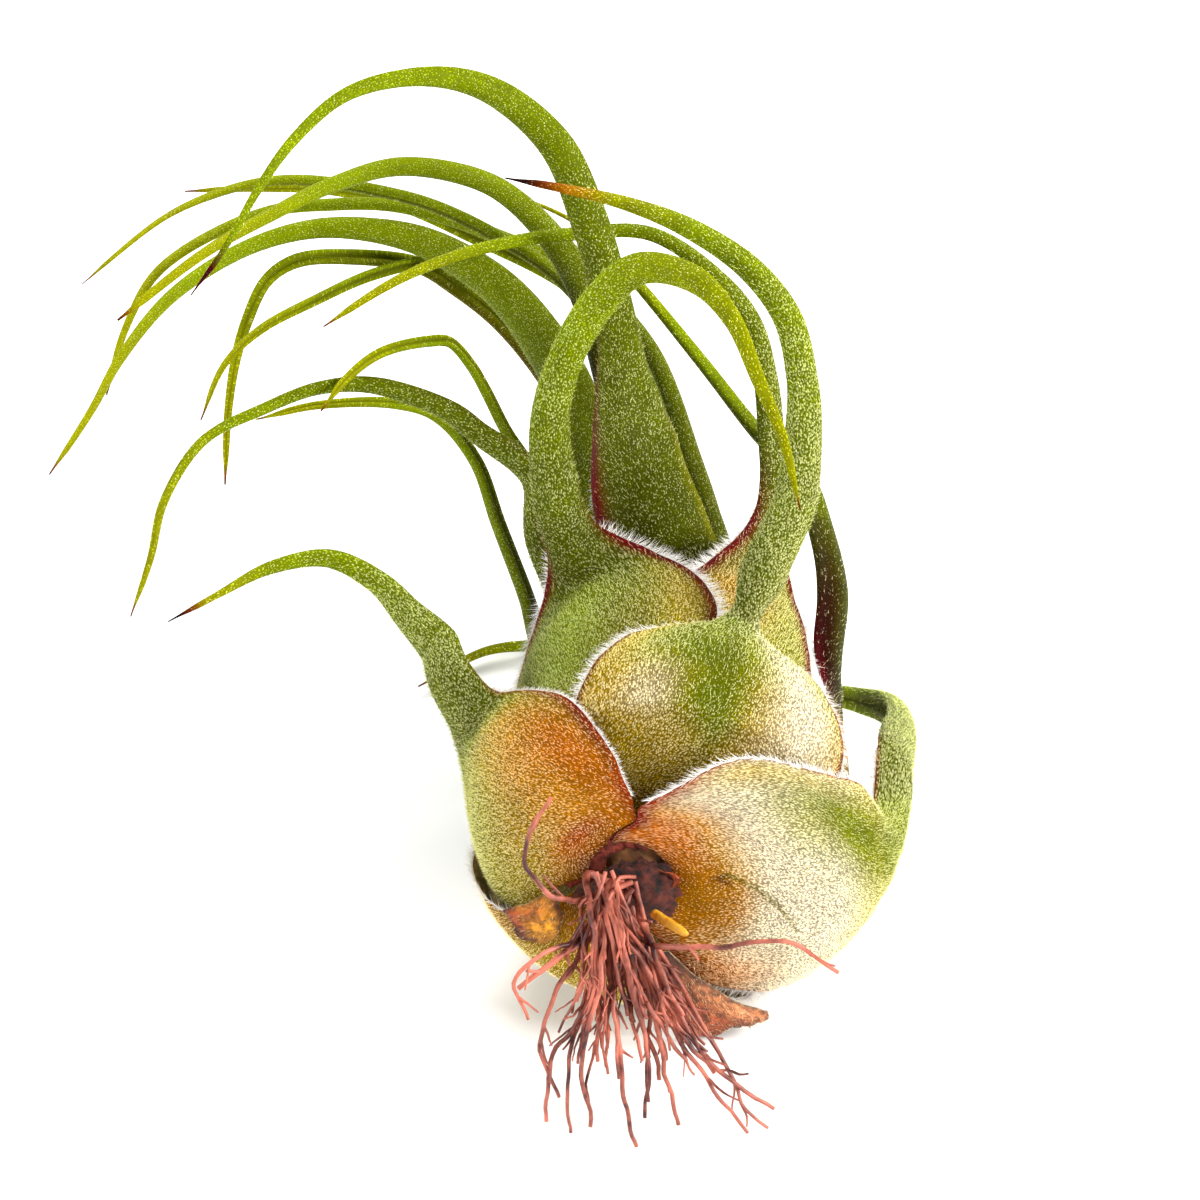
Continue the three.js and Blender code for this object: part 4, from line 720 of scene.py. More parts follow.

# Ground tones run from foot (0) through shoulder (1) to tip (2). A patch is a tone, its growth,
# its place across from -1 left to 1 right, its half sizes and its strength, and a bare place of
# the coat is the same without a tone. An edging is a tone, its strength and its width in mm. A
# scar runs from one place to another, with its width and strength.
# Blade greens grow lighter from the bulb toward the tip: partly their own colour, partly painted light where
# the arches catch the light from above and behind
bladeGround = [(1.02, "midGreen"), (1.3, "leafGreen"), (1.7, "limeGreen"), (1.9, "tipYellow")]
greenTip = bladeGround + [(1.975, "tipYellow"), (1.99, "rust"), (2.0, "brown")]
brownTip = bladeGround[:3] + [(1.9, "tipYellow"), (1.94, "rust"), (1.965, "umber")]
orangeTip = bladeGround[:3] + [(1.84, "tipYellow"), (1.9, "amber")] + brownTip[-2:]
purpleTip = bladeGround[:3] + [(1.93, "limeGreen"), (1.965, "purple")]
leafPaint = {
    "leaf_left": {
        "ground": [(0, "rust"), (0.08, "amber"), (0.2, "tan"), (0.5, "sage"), (0.75, "sage"),
                   (0.92, "leafGreen")] + brownTip,
        "patches": [("amber", 0.42, 0.35, 0.3, 0.3, 0.7), ("orange", 0.36, 0.72, 0.28, 0.3, 1.0),
                    ("amber", 0.22, 0.3, 0.2, 0.45, 0.85), ("pink", 0.1, 0.1, 0.07, 0.6, 0.7),
                    ("crimson", 0.5, 0.98, 0.26, 0.07, 0.95), ("pink", 0.2, 0.95, 0.1, 0.12, 0.6),
                    ("olive", 0.36, 0.02, 0.08, 0.16, 0.45), ("sage", 0.5, -0.75, 0.35, 0.35, 0.5)],
        "edging": ("pink", 0.5, 0.4), "coat": 0.8, "bare": [(0.36, 0.75, 0.36, 0.35, 0.45)],
    },
    "leaf_right": {
        "ground": [(0, "rust"), (0.04, "orange"), (0.09, "blush"), (0.15, "cream"), (0.24, "ivory"),
                   (0.5, "ivory"), (0.64, "cream"), (0.78, "sage"), (0.9, "leafGreen")] + greenTip,
        "patches": [("leafGreen", 0.72, -0.3, 0.2, 0.6, 0.9), ("leafGreen", 0.54, -0.5, 0.13, 0.34, 0.9),
                    ("sage", 0.4, -0.42, 0.1, 0.26, 0.5), ("orange", 0.1, -0.7, 0.1, 0.4, 0.85),
                    ("crimson", 0.1, -0.98, 0.14, 0.1, 0.9), ("pink", 0.22, -1.0, 0.14, 0.08, 0.7),
                    ("straw", 0.42, -0.88, 0.12, 0.14, 0.6), ("blush", 0.15, 0.4, 0.05, 0.5, 0.7),
                    ("amber", 0.08, 0.3, 0.06, 0.5, 1.0), ("blush", 0.26, 0.9, 0.14, 0.25, 0.9),
                    ("rust", 0.16, 0.95, 0.1, 0.14, 0.85),
                    ("brown", 0.125, 0.02, 0.012, 0.05, 0.8), ("brown", 0.14, 0.07, 0.01, 0.04, 0.7)],
        "edging": ("pink", 0.55, 0.35), "coat": 0.95,
        "bare": [(0.07, 0.3, 0.08, 0.6, 0.6), (0.6, -0.45, 0.16, 0.4, 0.5)],
        "scar": ((0.14, -0.02), (0.34, 0.37), 0.022, 0.75),
    },
    "leaf_under": {
        "ground": [(0, "brown"), (0.08, "amber"), (0.2, "straw"), (0.4, "cream"), (0.75, "sage")] + greenTip,
        "patches": [("rust", 0.2, 0.85, 0.12, 0.2, 0.6), ("rust", 0.2, -0.7, 0.14, 0.3, 0.6)],
        "edging": ("rust", 0.5, 0.5), "coat": 0.6,
    },
    "leaf_top": {
        "ground": [(0, "straw"), (0.25, "tan"), (0.5, "tan"), (0.66, "sage"),
                   (0.85, "leafGreen")] + orangeTip,
        "patches": [("olive", 0.3, -0.3, 0.2, 0.5, 0.4), ("leafGreen", 0.64, -0.2, 0.16, 0.5, 1.0),
                    ("leafGreen", 0.44, -0.08, 0.16, 0.26, 1.0), ("leafGreen", 0.3, 0.0, 0.12, 0.14, 0.8),
                    ("midGreen", 0.66, -0.02, 0.22, 0.14, 0.5),
                    ("straw", 0.66, -0.9, 0.2, 0.14, 0.75),
                    ("straw", 0.16, -0.7, 0.14, 0.3, 0.7), ("ivory", 0.42, -0.5, 0.14, 0.2, 0.5),
                    ("ivory", 0.5, 0.6, 0.42, 0.28, 0.9)],
        "edging": ("crimson", 0.9, 0.4), "coat": 0.85, "bare": [(0.56, -0.12, 0.22, 0.32, 0.65)],
    },
    "leaf_front": {
        "ground": [(0, "cream"), (0.3, "sage"), (0.45, "leafGreen"), (0.68, "leafGreen"), (1.02, "midGreen"),
                   (1.2, "leafGreen"), (1.42, "limeGreen")] + greenTip[3:],
        "patches": [("limeGreen", 0.66, -0.2, 0.24, 0.3, 0.5), ("olive", 0.5, 0.4, 0.2, 0.3, 0.6),
                    ("straw", 0.62, 0.8, 0.2, 0.25, 0.8), ("sage", 0.4, -0.9, 0.4, 0.2, 0.6)],
        "edging": ("crimson", 1.2, 1.2), "coat": 0.66,
    },
    # This leaf is painted dark, with dark green, maroon and umber and a thin coat: partly its own red tone,
    # partly painted shade, as the leaf lies in shade
    "leaf_far_right": {
        "ground": [(0, "cream"), (0.5, "straw"), (0.75, "olive"), (0.95, "darkGreen"),
                   (1.3, "midGreen")] + greenTip[1:],
        "patches": [("orange", 0.7, -0.2, 0.12, 0.6, 0.7), ("maroon", 1.08, -0.75, 0.2, 0.5, 1.0),
                    ("umber", 1.08, -0.6, 0.14, 0.3, 0.6)],
        "edging": ("crimson", 0.9, 0.9), "coat": 0.17,
    },
    "leaf_mid_right": {
        "ground": [(0, "cream"), (0.5, "sage"), (0.72, "olive"), (0.9, "leafGreen")] + greenTip,
        "patches": [("amber", 0.66, -0.3, 0.14, 0.5, 0.5), ("olive", 0.86, -0.5, 0.14, 0.5, 0.7),
                    ("sage", 0.6, 0.6, 0.4, 0.4, 0.8)],
        "edging": ("crimson", 1.2, 1.5), "coat": 0.7,
    },
    "leaf_low_left": {
        "ground": [(0, "cream"), (0.6, "sage"), (0.8, "leafGreen")] + greenTip,
        "patches": [("maroon", 1.3, 0.9, 0.4, 0.2, 0.4)],
        "edging": ("pink", 0.8, 0.6), "coat": 0.6,
    },
    # The tall leaf is painted dark green low down and pale sage along its right edge: partly its own colour,
    # partly painted shade and a painted highlight from the light on the right
    "leaf_tall": {
        "ground": [(0, "cream"), (0.5, "sage"), (0.7, "darkGreen"), (1.05, "midGreen")] + purpleTip[1:],
        "patches": [("crimson", 1.12, -0.74, 0.18, 0.24, 1.0), ("sage", 1.0, 0.95, 0.4, 0.1, 0.7)],
        "bare": [(1.1, -0.74, 0.18, 0.22, 0.8)],
        "edging": ("crimson", 1.0, 1.3), "edgeTo": 1.35, "edgeSide": -1, "coat": 0.5,
    },
}
# Inner leaves are painted dark green where they come out between the outer leaves: partly their own colour,
# partly painted shade between the leaves
innerPaint = {
    "ground": [(0, "sage"), (0.6, "darkGreen"), (1.1, "midGreen")] + greenTip[1:],
    "patches": [], "edging": ("crimson", 0.3, 0.4), "coat": 0.5,
}
leafPaint.update({
    "leaf_broad": dict(innerPaint, ground=[(0, "sage"), (0.7, "midGreen"),
                                           (1.15, "leafGreen")] + greenTip[2:]),
    "leaf_second": dict(innerPaint, patches=[("maroon", 1.1, -0.7, 0.2, 0.5, 0.9)]),
    "leaf_channelled": dict(innerPaint, patches=[("brown", 1.35, 0.8, 0.4, 0.35, 0.7)]),
})

paintLook = {
    "inPatch": 0.6,                                     # what the inner face loses of a patch
    # The channel, the inner face of a blade, is painted maroon: partly its own red tone, partly painted shade
    # inside the channel
    "channel": ("maroon", 0.45, (0.9, 1.1), (1.6, 1.9)),
    "lining": ("cream", 0.7, (0.5, 0.95)),
    "edgingFrom": (0.02, 0.12), "edgingTo": (1.02, 1.2), "edgingMost": 0.95,
    "scarTone": ("olive", 0.7), "scarStretch": 2,       # growth against the place across
    "scarTaper": (1.2, 0.7),
    "coatTip": (0.35, (1.3, 1.85), (1.86, 1.97)),       # share left on a blade, and where it ends
    "coatLining": 0.6, "coatEdging": 0.6,
}


def spread(growth, across, place):
    g, s, halfG, halfS = place
    return np.exp(-((growth - g) / halfG) ** 2 - ((across - s) / halfS) ** 2)


# Tint and silver coat over growth and place across, with the distance from the margin
def paintLeaf(paint, growth, across, rim, lining):
    look = paintLook
    places = [stop[0] for stop in paint["ground"]]
    colours = np.array([toneColours[stop[1]] for stop in paint["ground"]])
    tint = np.stack([np.interp(growth, places, colours[:, k]) for k in range(3)], axis=-1)

    def cover(colour, weight):
        return mix(tint, colour, weight[..., None])

    for tone, *place, strength in paint["patches"]:
        weight = strength * spread(growth, across, place)
        tint = cover(toneColours[tone], weight * (1 - look["inPatch"] * lining))
    # Maroon on the inner face of the blade: its own red tone and painted shade inside the channel
    tone, strength, start, end = look["channel"]
    tint = cover(toneColours[tone], strength * lining * ease(growth, *start) * (1 - ease(growth, *end)))
    tone, strength, end = look["lining"]
    tint = cover(toneColours[tone], strength * lining * (1 - ease(growth, *end)))
    tone, strength, width = paint["edging"]
    edging = np.exp(-(rim / width) ** 2)
    fade = 1 - ease(growth, look["edgingTo"][0], paint.get("edgeTo", look["edgingTo"][1]))
    line = strength * edging * fade * ease(growth, *look["edgingFrom"])
    if "edgeSide" in paint:
        line = line * (across * paint["edgeSide"] > 0)
    tint = cover(toneColours[tone], np.clip(line, 0, look["edgingMost"]))
    if "scar" in paint:
        (g0, s0), (g1, s1), width, scarStrength = paint["scar"]
        stretch = look["scarStretch"]
        run = ((growth - g0) * (g1 - g0) * stretch ** 2 + (across - s0) * (s1 - s0))
        run = np.clip(run / (((g1 - g0) * stretch) ** 2 + (s1 - s0) ** 2), 0, 1)
        away = np.hypot((growth - mix(g0, g1, run)) * stretch, across - mix(s0, s1, run))
        wide, taper = look["scarTaper"]
        scar = scarStrength * np.exp(-(away / (width * (wide - taper * run))) ** 2) * (1 - lining)
        tone, depth = look["scarTone"]
        tint = cover(toneColours[tone] * depth, scar)

    share, start, end = look["coatTip"]
    coat = paint["coat"] * mix(1, share, ease(growth, *start)) * (1 - ease(growth, *end))
    coat = coat * (1 - look["coatLining"] * lining) * (1 - look["coatEdging"] * min(1, strength) * edging)
    for *place, strength in paint.get("bare", []):
        coat = coat * (1 - strength * spread(growth, across, place))
    return tint, coat


# How far a place lies under the bulb's outer skin, and how far along the bulb's axis
def underSkin(points):
    lean = math.radians(bulb["lean"])
    middle = bulb["middle"]
    x, y, z = points[..., 0] + middle[0], points[..., 1] + middle[1], points[..., 2] - bulb["height"]
    along = x * math.sin(lean) + y * math.cos(lean)
    across = x * math.cos(lean) - y * math.sin(lean) - bulb["shift"]
    skin = np.interp(along, [row[1] for row in bulbSkin[3:]], [row[2] for row in bulbSkin[3:]])
    return skin - np.hypot(across, z), along


# Faces of a closed shell between two grids of points, the outer one first
def shellFaces(count, width):
    k, j = (grid.ravel() for grid in np.meshgrid(np.arange(count - 1), np.arange(width - 1), indexing="ij"))
    row, column = np.arange(count - 1), np.arange(width - 1)
    top, last = count - 1, width - 1

    def quads(*corners):
        return np.stack([side * count * width + k * width + j for side, k, j in corners], 1)

    return np.concatenate([
        quads((0, k, j), (0, k, j + 1), (0, k + 1, j + 1), (0, k + 1, j)),
        quads((1, k, j), (1, k + 1, j), (1, k + 1, j + 1), (1, k, j + 1)),
        quads((0, row, 0), (0, row + 1, 0), (1, row + 1, 0), (1, row, 0)),
        quads((0, row, last), (1, row, last), (1, row + 1, last), (0, row + 1, last)),
        quads((0, 0, column), (1, 0, column), (1, 0, column + 1), (0, 0, column + 1)),
        quads((0, top, column), (0, top, column + 1), (1, top, column + 1), (1, top, column)),
    ])


leafLook = {
    "swell": 0.22,             # mm that the skin of a sheath swells and sinks
    "swellWaves": (0.16, 0.42, 0.5),    # two frequencies and the share of the second
    "swellEnds": (1.0, 1.3),   # growth over which the swelling fades out
    "swellFrom": 1.5,          # mm above the table
    "lowest": 0.02,
    "hiddenUnder": (4.5, 38),  # what is this deep under the skin and this near the foot has no scales
    "fuzzFrom": 1.2,           # mm above the table where the standing scales begin
    "fuzzInside": 0.95,        # growth from which they stand on the inner face too
    "bladeFuzz": (0.5, (0.9, 1.15)),    # how thick they stand on a blade, as a share of its sheath
    "mapSize": 100,            # mm for one length of the map that the materials read
}


# One leaf as a mesh, with what its material and its hairs and scales read kept on its points
def leafObject(name, rows, paint):
    look = leafLook
    outer, inner, growth = rows
    count, width = outer.shape[:2]
    coarse, fine, share = look["swellWaves"]
    swell = (noiseAt(outer, coarse) + share * noiseAt(outer, fine))[..., None]
    lift = swell * look["swell"] * unit(outer - inner)
    lift = lift * (1 - ease(growth, *look["swellEnds"]))[:, None, None] * (outer[..., 2:] > look["swellFrom"])
    points = np.stack([outer + lift, inner + lift])
    points[..., 2] = np.maximum(points[..., 2], look["lowest"])
    outer = points[0]
    sweep = runAcross(outer)
    rim = np.minimum(sweep, sweep[:, -1:] - sweep)
    across = 2 * sweep / np.maximum(sweep[:, -1:], 1e-6) - 1
    length = np.repeat(runAlong(outer[:, width // 2])[:, None], width, axis=1)
    growth = np.repeat(growth[:, None], width, axis=1)
    depth, along = underSkin(outer)
    shown = (depth <= look["hiddenUnder"][0]) | (along >= look["hiddenUnder"][1])

    flat = points.reshape(-1, 3)
    faces = shellFaces(count, width)
    a, b, c, d = (flat[faces[:, n]] for n in range(4))
    if np.einsum("ij,ij->i", a, np.cross(b, c) + np.cross(c, d)).sum() < 0:     # the volume inside
        faces = faces[:, ::-1]
    leaf = meshObject(name, flat * mm, [], faces.tolist())
    leaf.data.shade_smooth()
    lining = np.stack([0 * rim, 0 * rim + 1])
    tint, coat = paintLeaf(paint, growth, across, rim, lining)
    share, ends = look["bladeFuzz"]
    fuzz = coat * np.stack([shown, shown & (growth > look["fuzzInside"])])
    fuzz = fuzz * (points[..., 2] > look["fuzzFrom"])
    setAttribute(leaf.data, "coat", "FLOAT", coat)
    setAttribute(leaf.data, "fuzz", "FLOAT", fuzz * mix(1, share, ease(growth, *ends)))
    setTint(leaf.data, tint)
    setAttribute(leaf.data, "grain", "FLOAT_VECTOR", np.stack(2 * [unit(np.gradient(outer, axis=0))]))
    places = np.stack([sweep - sweep[:, -1:] / 2, length], axis=-1) / look["mapSize"]
    setMap(leaf.data, np.stack([places, places]).reshape(-1, 2))
    return leaf


marginLook = {
    "hiddenUnder": (5, 45),    # the margin this deep under the skin and this near the foot has no hairs
    "facing": 0.45,            # how much the hairs stand toward the outer face
}


# Margins of a sheath as two lines, with the way that their hairs stand
def marginObject(name, rows, start, end, rightTo=3.0):
    outer, inner, growth = rows
    depth, along = underSkin(outer)
    points, edges, outward = [], [], []
    deep, near = marginLook["hiddenUnder"]
    for side, beside, until in ((0, 1, end), (-1, -2, min(end, rightTo))):
        hidden = (depth[:, side] > deep) & (along[:, side] < near)
        keep = (growth >= start) & (growth <= until) & ~hidden
        first, count = len(points), int(keep.sum())
        across = unit(outer[keep, side] - outer[keep, beside])
        face = unit(outer[keep, side] - inner[keep, side])
        points += list((outer[keep, side] + inner[keep, side]) / 2 * mm)
        outward += list(unit(across + marginLook["facing"] * face))
        edges += [(first + n, first + n + 1) for n in range(count - 1)]
    lines = meshObject(name, points, edges, [])
    setAttribute(lines.data, "outward", "FLOAT_VECTOR", outward)
    return lines


socketKinds = {tuple: "NodeSocketColor", float: "NodeSocketFloat", int: "NodeSocketInt",
               type(None): "NodeSocketGeometry"}


# A node group whose sockets take the kinds of the values given for them
def newGroup(name, kind, inputs, outputs):
    tree = bpy.data.node_groups.new(name, kind)
    for side, sockets in (("INPUT", inputs), ("OUTPUT", outputs)):
        for label, value in sockets.items():
            socket = tree.interface.new_socket(label, in_out=side, socket_type=socketKinds[type(value)])
            if side == "INPUT" and value is not None:
                socket.default_value = value
    return tree, addNode(tree, "NodeGroupInput").outputs, addNode(tree, "NodeGroupOutput")


def mathNode(tree, operation, *values):
    return addNode(tree, "ShaderNodeMath", dict(enumerate(values)), operation=operation).outputs[0]


def product(tree, *values):
    total = values[0]
    for value in values[1:]:
        total = mathNode(tree, "MULTIPLY", total, value)
    return total


def vectorNode(tree, operation, *values):
    return addNode(tree, "ShaderNodeVectorMath", dict(enumerate(values)), operation=operation).outputs[0]


def scaleVector(tree, vector, factor):
    return addNode(tree, "ShaderNodeVectorMath", {0: vector, "Scale": factor}, operation="SCALE").outputs[0]


def rangeNode(tree, value, low, high, toLow, toHigh, kind="LINEAR"):
    return addNode(tree, "ShaderNodeMapRange", {
        "Value": value, "From Min": low, "From Max": high, "To Min": toLow, "To Max": toHigh,
    }, interpolation_type=kind).outputs["Result"]


def blendColours(tree, factor, first, second):
    inputs = {"Factor": factor, 6: first, 7: second}
    return addNode(tree, "ShaderNodeMix", inputs, data_type="RGBA").outputs[2]


# A colour made lighter or richer, with its hue kept
def toneNode(tree, colour, value, saturation=1.0):
    return addNode(tree, "ShaderNodeHueSaturation", {
        "Color": colour, "Value": value, "Saturation": saturation,
    }).outputs["Color"]


# Noise on the object itself, or on the places given
def noiseNode(tree, scale, detail=2.0, roughness=0.5, places=None):
    places = places or addNode(tree, "ShaderNodeTexCoord").outputs["Object"]
    return addNode(tree, "ShaderNodeTexNoise", {
        "Vector": places, "Scale": scale, "Detail": detail, "Roughness": roughness,
    }).outputs


def attributeNode(tree, name):
    return addNode(tree, "ShaderNodeAttribute", attribute_name=name).outputs


# Places on the leaf's map, drawn out along the leaf
def mapNode(tree, stretch, shift=None):
    places = addNode(tree, "ShaderNodeUVMap", uv_map="leafMap").outputs["UV"]
    if shift:
        places = vectorNode(tree, "ADD", places, shift)
    stretched = addNode(tree, "ShaderNodeMapping", {"Vector": places, "Scale": (1.0, stretch, 1.0)})
    return stretched.outputs["Vector"]


def bumpNode(tree, strength, distance, height):
    return addNode(tree, "ShaderNodeBump", {
        "Strength": strength, "Distance": distance, "Height": height,
    }).outputs["Normal"]


def rampNode(tree, factor, first, last, ends=(0.0, 1.0)):
    node = addNode(tree, "ShaderNodeValToRGB", {"Fac": factor})
    for element, place, colour in zip(node.color_ramp.elements, ends, (first, last)):
        element.position, element.color = place, (*colour, 1)
    return node.outputs["Color"]


# Silver scales that lie on the skin like shingles, over a ground painted darker between them: the tissue
# between the scales and painted shade. Ranges are from low, high to low, high.
grainLook = {
    "bend": (700.0, 1.0, 0.0025),           # scale and detail of the noise that bends the rows, and how far
    "squeeze": 0.75,
    "patchy": (240.0, 4.0, 0.6),
    "reach": (0.4, 0.95, 0.46, 0.74),       # radius of a scale, for a thin and a full coat
    "domeFrom": 0.1,
    "patches": (0.32, 0.68, 0.6, 1.35),
    "chance": (-0.2, 0.25, 0.0, 1.0),
    "shade": (0.0, 1.0, 0.45, 1.0),         # how much the scales differ among each other
    "shadedGapSaturation": 1.35,
    "lit": (1.9, 0.85),                     # value and saturation of a green scale
}


def silverGrainGroup():
    look = grainLook
    tree, given, made = newGroup("silverGrain", "ShaderNodeTree", {
        "Base": (0.2, 0.3, 0.1, 1), "Coat": 0.6, "Cells": 300.0, "Silver": (0.84, 0.8, 0.34, 1),
        "Shine": 0.8, "ShadedGaps": 0.75, "Pale": 0.5,
    }, {"Color": (0, 0, 0, 1), "Height": 0.0})
    scale, detail, bend = look["bend"]
    places = mapNode(tree, look["squeeze"], scaleVector(tree, noiseNode(tree, scale, detail)["Color"], bend))
    cells = addNode(tree, "ShaderNodeTexVoronoi", {"Vector": places, "Scale": given["Cells"]}).outputs
    reach = rangeNode(tree, given["Coat"], *look["reach"])
    dome = rangeNode(tree, cells["Distance"], look["domeFrom"], reach, 1.0, 0.0, "SMOOTHSTEP")
    chance = addNode(tree, "ShaderNodeSeparateColor", {"Color": cells["Color"]}).outputs
    patchy = noiseNode(tree, *look["patchy"])["Fac"]
    wanted = product(tree, given["Coat"], rangeNode(tree, patchy, *look["patches"]))
    there = rangeNode(tree, mathNode(tree, "SUBTRACT", wanted, chance["Red"]), *look["chance"])
    vary = rangeNode(tree, chance["Green"], *look["shade"])
    shine = product(tree, dome, there, product(tree, vary, given["Shine"]))
    # Painted shade between the scales: away from each scale the ground is darkened and made richer
    gap = product(tree, mathNode(tree, "SUBTRACT", 1.0, dome), mathNode(tree, "SUBTRACT", 1.0, given["ShadedGaps"]))
    deep = toneNode(tree, given["Base"], mathNode(tree, "SUBTRACT", 1.0, gap), look["shadedGapSaturation"])
    flake = blendColours(tree, given["Pale"], toneNode(tree, given["Base"], *look["lit"]), given["Silver"])
    setInputs(tree, made, {
        "Color": blendColours(tree, shine, deep, flake),
        "Height": product(tree, dome, rangeNode(tree, there, *look["shade"])),
    })
    return tree


# Uneven growth: fine streaks along the leaf and soft mottling
streakLook = {"stretch": 0.07, "streak": (190.0, 4.0, 0.6), "mottle": (330.0, 5.0, 0.65), "contrast": 2.6}


def streakGroup():
    look = streakLook
    tree, given, made = newGroup("growthStreaks", "ShaderNodeTree", {
        "Base": (0.5, 0.5, 0.5, 1), "Streaks": 0.25, "Mottle": 0.3,
    }, {"Color": (0, 0, 0, 1), "Height": 0.0})
    streak = noiseNode(tree, *look["streak"], places=mapNode(tree, look["stretch"]))["Fac"]
    mottle = noiseNode(tree, *look["mottle"])["Fac"]
    parts = [product(tree, mathNode(tree, "SUBTRACT", source, 0.5), given[strength])
             for source, strength in ((streak, "Streaks"), (mottle, "Mottle"))]
    value = mathNode(tree, "MULTIPLY_ADD", mathNode(tree, "ADD", *parts), look["contrast"], 1.0)
    setInputs(tree, made, {"Color": toneNode(tree, given["Base"], value), "Height": streak})
    return tree


silverGrain = silverGrainGroup()
growthStreaks = streakGroup()

# shadedGaps is how much of its tone the ground keeps under the painted shade between the scales
leafFinish = {
    "sheathSkin": {"roughness": 0.55, "streaks": 0.2, "mottle": 0.4, "cells": 400.0, "shine": 0.95,
                   "shadedGaps": 0.34, "pale": 0.45, "silver": (0.92, 0.88, 0.5), "bump": 0.9, "glow": 0.06},
    "bladeSkin": {"roughness": 0.5, "streaks": 0.14, "mottle": 0.25, "cells": 540.0, "shine": 0.78,
                  "shadedGaps": 0.4, "pale": 0.5, "silver": (0.92, 0.9, 0.48), "bump": 0.8, "glow": 0.04},
}
skinLook = {
    "bumpDepth": 0.00016, "streakRelief": 0.5,
    "glowReach": (1.0, 0.6, 0.25), "glowDepth": 0.0015, "gloss": 0.03,
}
hairLook = {"roughness": 0.55, "scale": 900.0, "dark": (0.8, 0.76, 0.72), "light": (0.95, 0.94, 0.92)}
scaleLook = {"roughness": 0.5, "scale": 1500.0, "amount": (0.3, 0.7, 0.15, 0.6), "lit": 1.7,
             "silver": (0.92, 0.88, 0.5), "gloss": 0.1}
driedFinish = {
    "roughness": 0.75, "stretch": 0.12, "fibres": (260.0, 5.0, 0.7), "fibreRange": (0.3, 0.72, 0.55, 1.5),
    "grains": (1100.0, 3.0), "speckRange": (0.38, 0.62, 0.55, 1.5), "bump": (0.9, 0.0003),
}
barkLook = {"detail": 5.0, "noise": 0.65, "ends": (0.38, 0.62), "bump": (0.7, 0.0002)}


def leafMaterial(name):
    finish = leafFinish[name]

    def build(tree):
        streaks = addNode(tree, "ShaderNodeGroup", node_tree=growthStreaks)
        setInputs(tree, streaks, {
            "Base": attributeNode(tree, "tint")["Color"],
            "Streaks": finish["streaks"], "Mottle": finish["mottle"],
        })
        silver = addNode(tree, "ShaderNodeGroup", node_tree=silverGrain)
        setInputs(tree, silver, {
            "Base": streaks.outputs["Color"], "Coat": attributeNode(tree, "coat")["Fac"],
            "Cells": finish["cells"], "Shine": finish["shine"], "ShadedGaps": finish["shadedGaps"],
            "Pale": finish["pale"], "Silver": (*finish["silver"], 1),
        })
        relief = mathNode(tree, "MULTIPLY_ADD", streaks.outputs["Height"], skinLook["streakRelief"],
                          silver.outputs["Height"])
        return {
            "Base Color": silver.outputs["Color"], "Roughness": finish["roughness"],
            "Normal": bumpNode(tree, finish["bump"], skinLook["bumpDepth"], relief),
            "Subsurface Weight": finish["glow"], "Subsurface Radius": skinLook["glowReach"],
            "Subsurface Scale": skinLook["glowDepth"], "Specular IOR Level": skinLook["gloss"],
        }

    return newMaterial(name, build)


def buildHair(tree):
    tone = noiseNode(tree, hairLook["scale"])["Fac"]
    return {"Base Color": rampNode(tree, tone, hairLook["dark"], hairLook["light"]),
            "Roughness": hairLook["roughness"]}


def buildScale(tree):
    amount = rangeNode(tree, noiseNode(tree, scaleLook["scale"])["Fac"], *scaleLook["amount"])
    lit = toneNode(tree, attributeNode(tree, "tint")["Color"], scaleLook["lit"])
    return {"Base Color": blendColours(tree, amount, lit, (*scaleLook["silver"], 1)),
            "Roughness": scaleLook["roughness"], "Specular IOR Level": scaleLook["gloss"]}


def buildDried(tree):
    look = driedFinish
    fibres = noiseNode(tree, *look["fibres"], places=mapNode(tree, look["stretch"]))["Fac"]
    grains = noiseNode(tree, *look["grains"])["Fac"]
    speck = rangeNode(tree, grains, *look["speckRange"])
    value = product(tree, rangeNode(tree, fibres, *look["fibreRange"]), speck)
    return {"Base Color": toneNode(tree, attributeNode(tree, "tint")["Color"], value),
            "Roughness": look["roughness"],
            "Normal": bumpNode(tree, *look["bump"], mathNode(tree, "ADD", fibres, grains))}


def barkMaterial(name, dark, light, roughness, scale):
    def build(tree):
        grain = noiseNode(tree, scale, barkLook["detail"], barkLook["noise"])["Fac"]
        return {"Base Color": rampNode(tree, grain, toLinear(dark), toLinear(light), barkLook["ends"]),
                "Roughness": roughness, "Normal": bumpNode(tree, *barkLook["bump"], grain)}

    return newMaterial(name, build)


materials = {
    "sheathSkin": leafMaterial("sheathSkin"), "bladeSkin": leafMaterial("bladeSkin"),
    "marginHair": newMaterial("marginHair", buildHair), "silverScale": newMaterial("silverScale", buildScale),
    "driedSheath": newMaterial("driedSheath", buildDried),
    "root": barkMaterial("rootBark", (64, 15, 12), (192, 104, 82), 0.5, 170.0),
    # The crown's crust is painted near black: its own dark crust, and painted shade of the hollow in the
    # bulb's base
    "crown": barkMaterial("crownCrustAndShade", (16, 5, 4), (88, 34, 22), 0.9, 700.0),
    # The stem's bark is painted darker, as painted shade of the hollow it shows in
    "stem": barkMaterial("stemBarkShaded", (56, 28, 14), (136, 86, 40), 0.8, 400.0),
}
print("materials made:", len(materials))


def vectorSum(tree, first, *others):
    total = scaleVector(tree, *first)
    for part in others:
        total = vectorNode(tree, "ADD", total, scaleVector(tree, *part))
    return total


def finishTree(tree, made, geometry, material):
    real = addNode(tree, "GeometryNodeRealizeInstances", {"Geometry": geometry}).outputs["Geometry"]
    dressed = addNode(tree, "GeometryNodeSetMaterial", {"Geometry": real, "Material": material})
    setInputs(tree, made, {"Geometry": dressed.outputs["Geometry"]})
    return tree


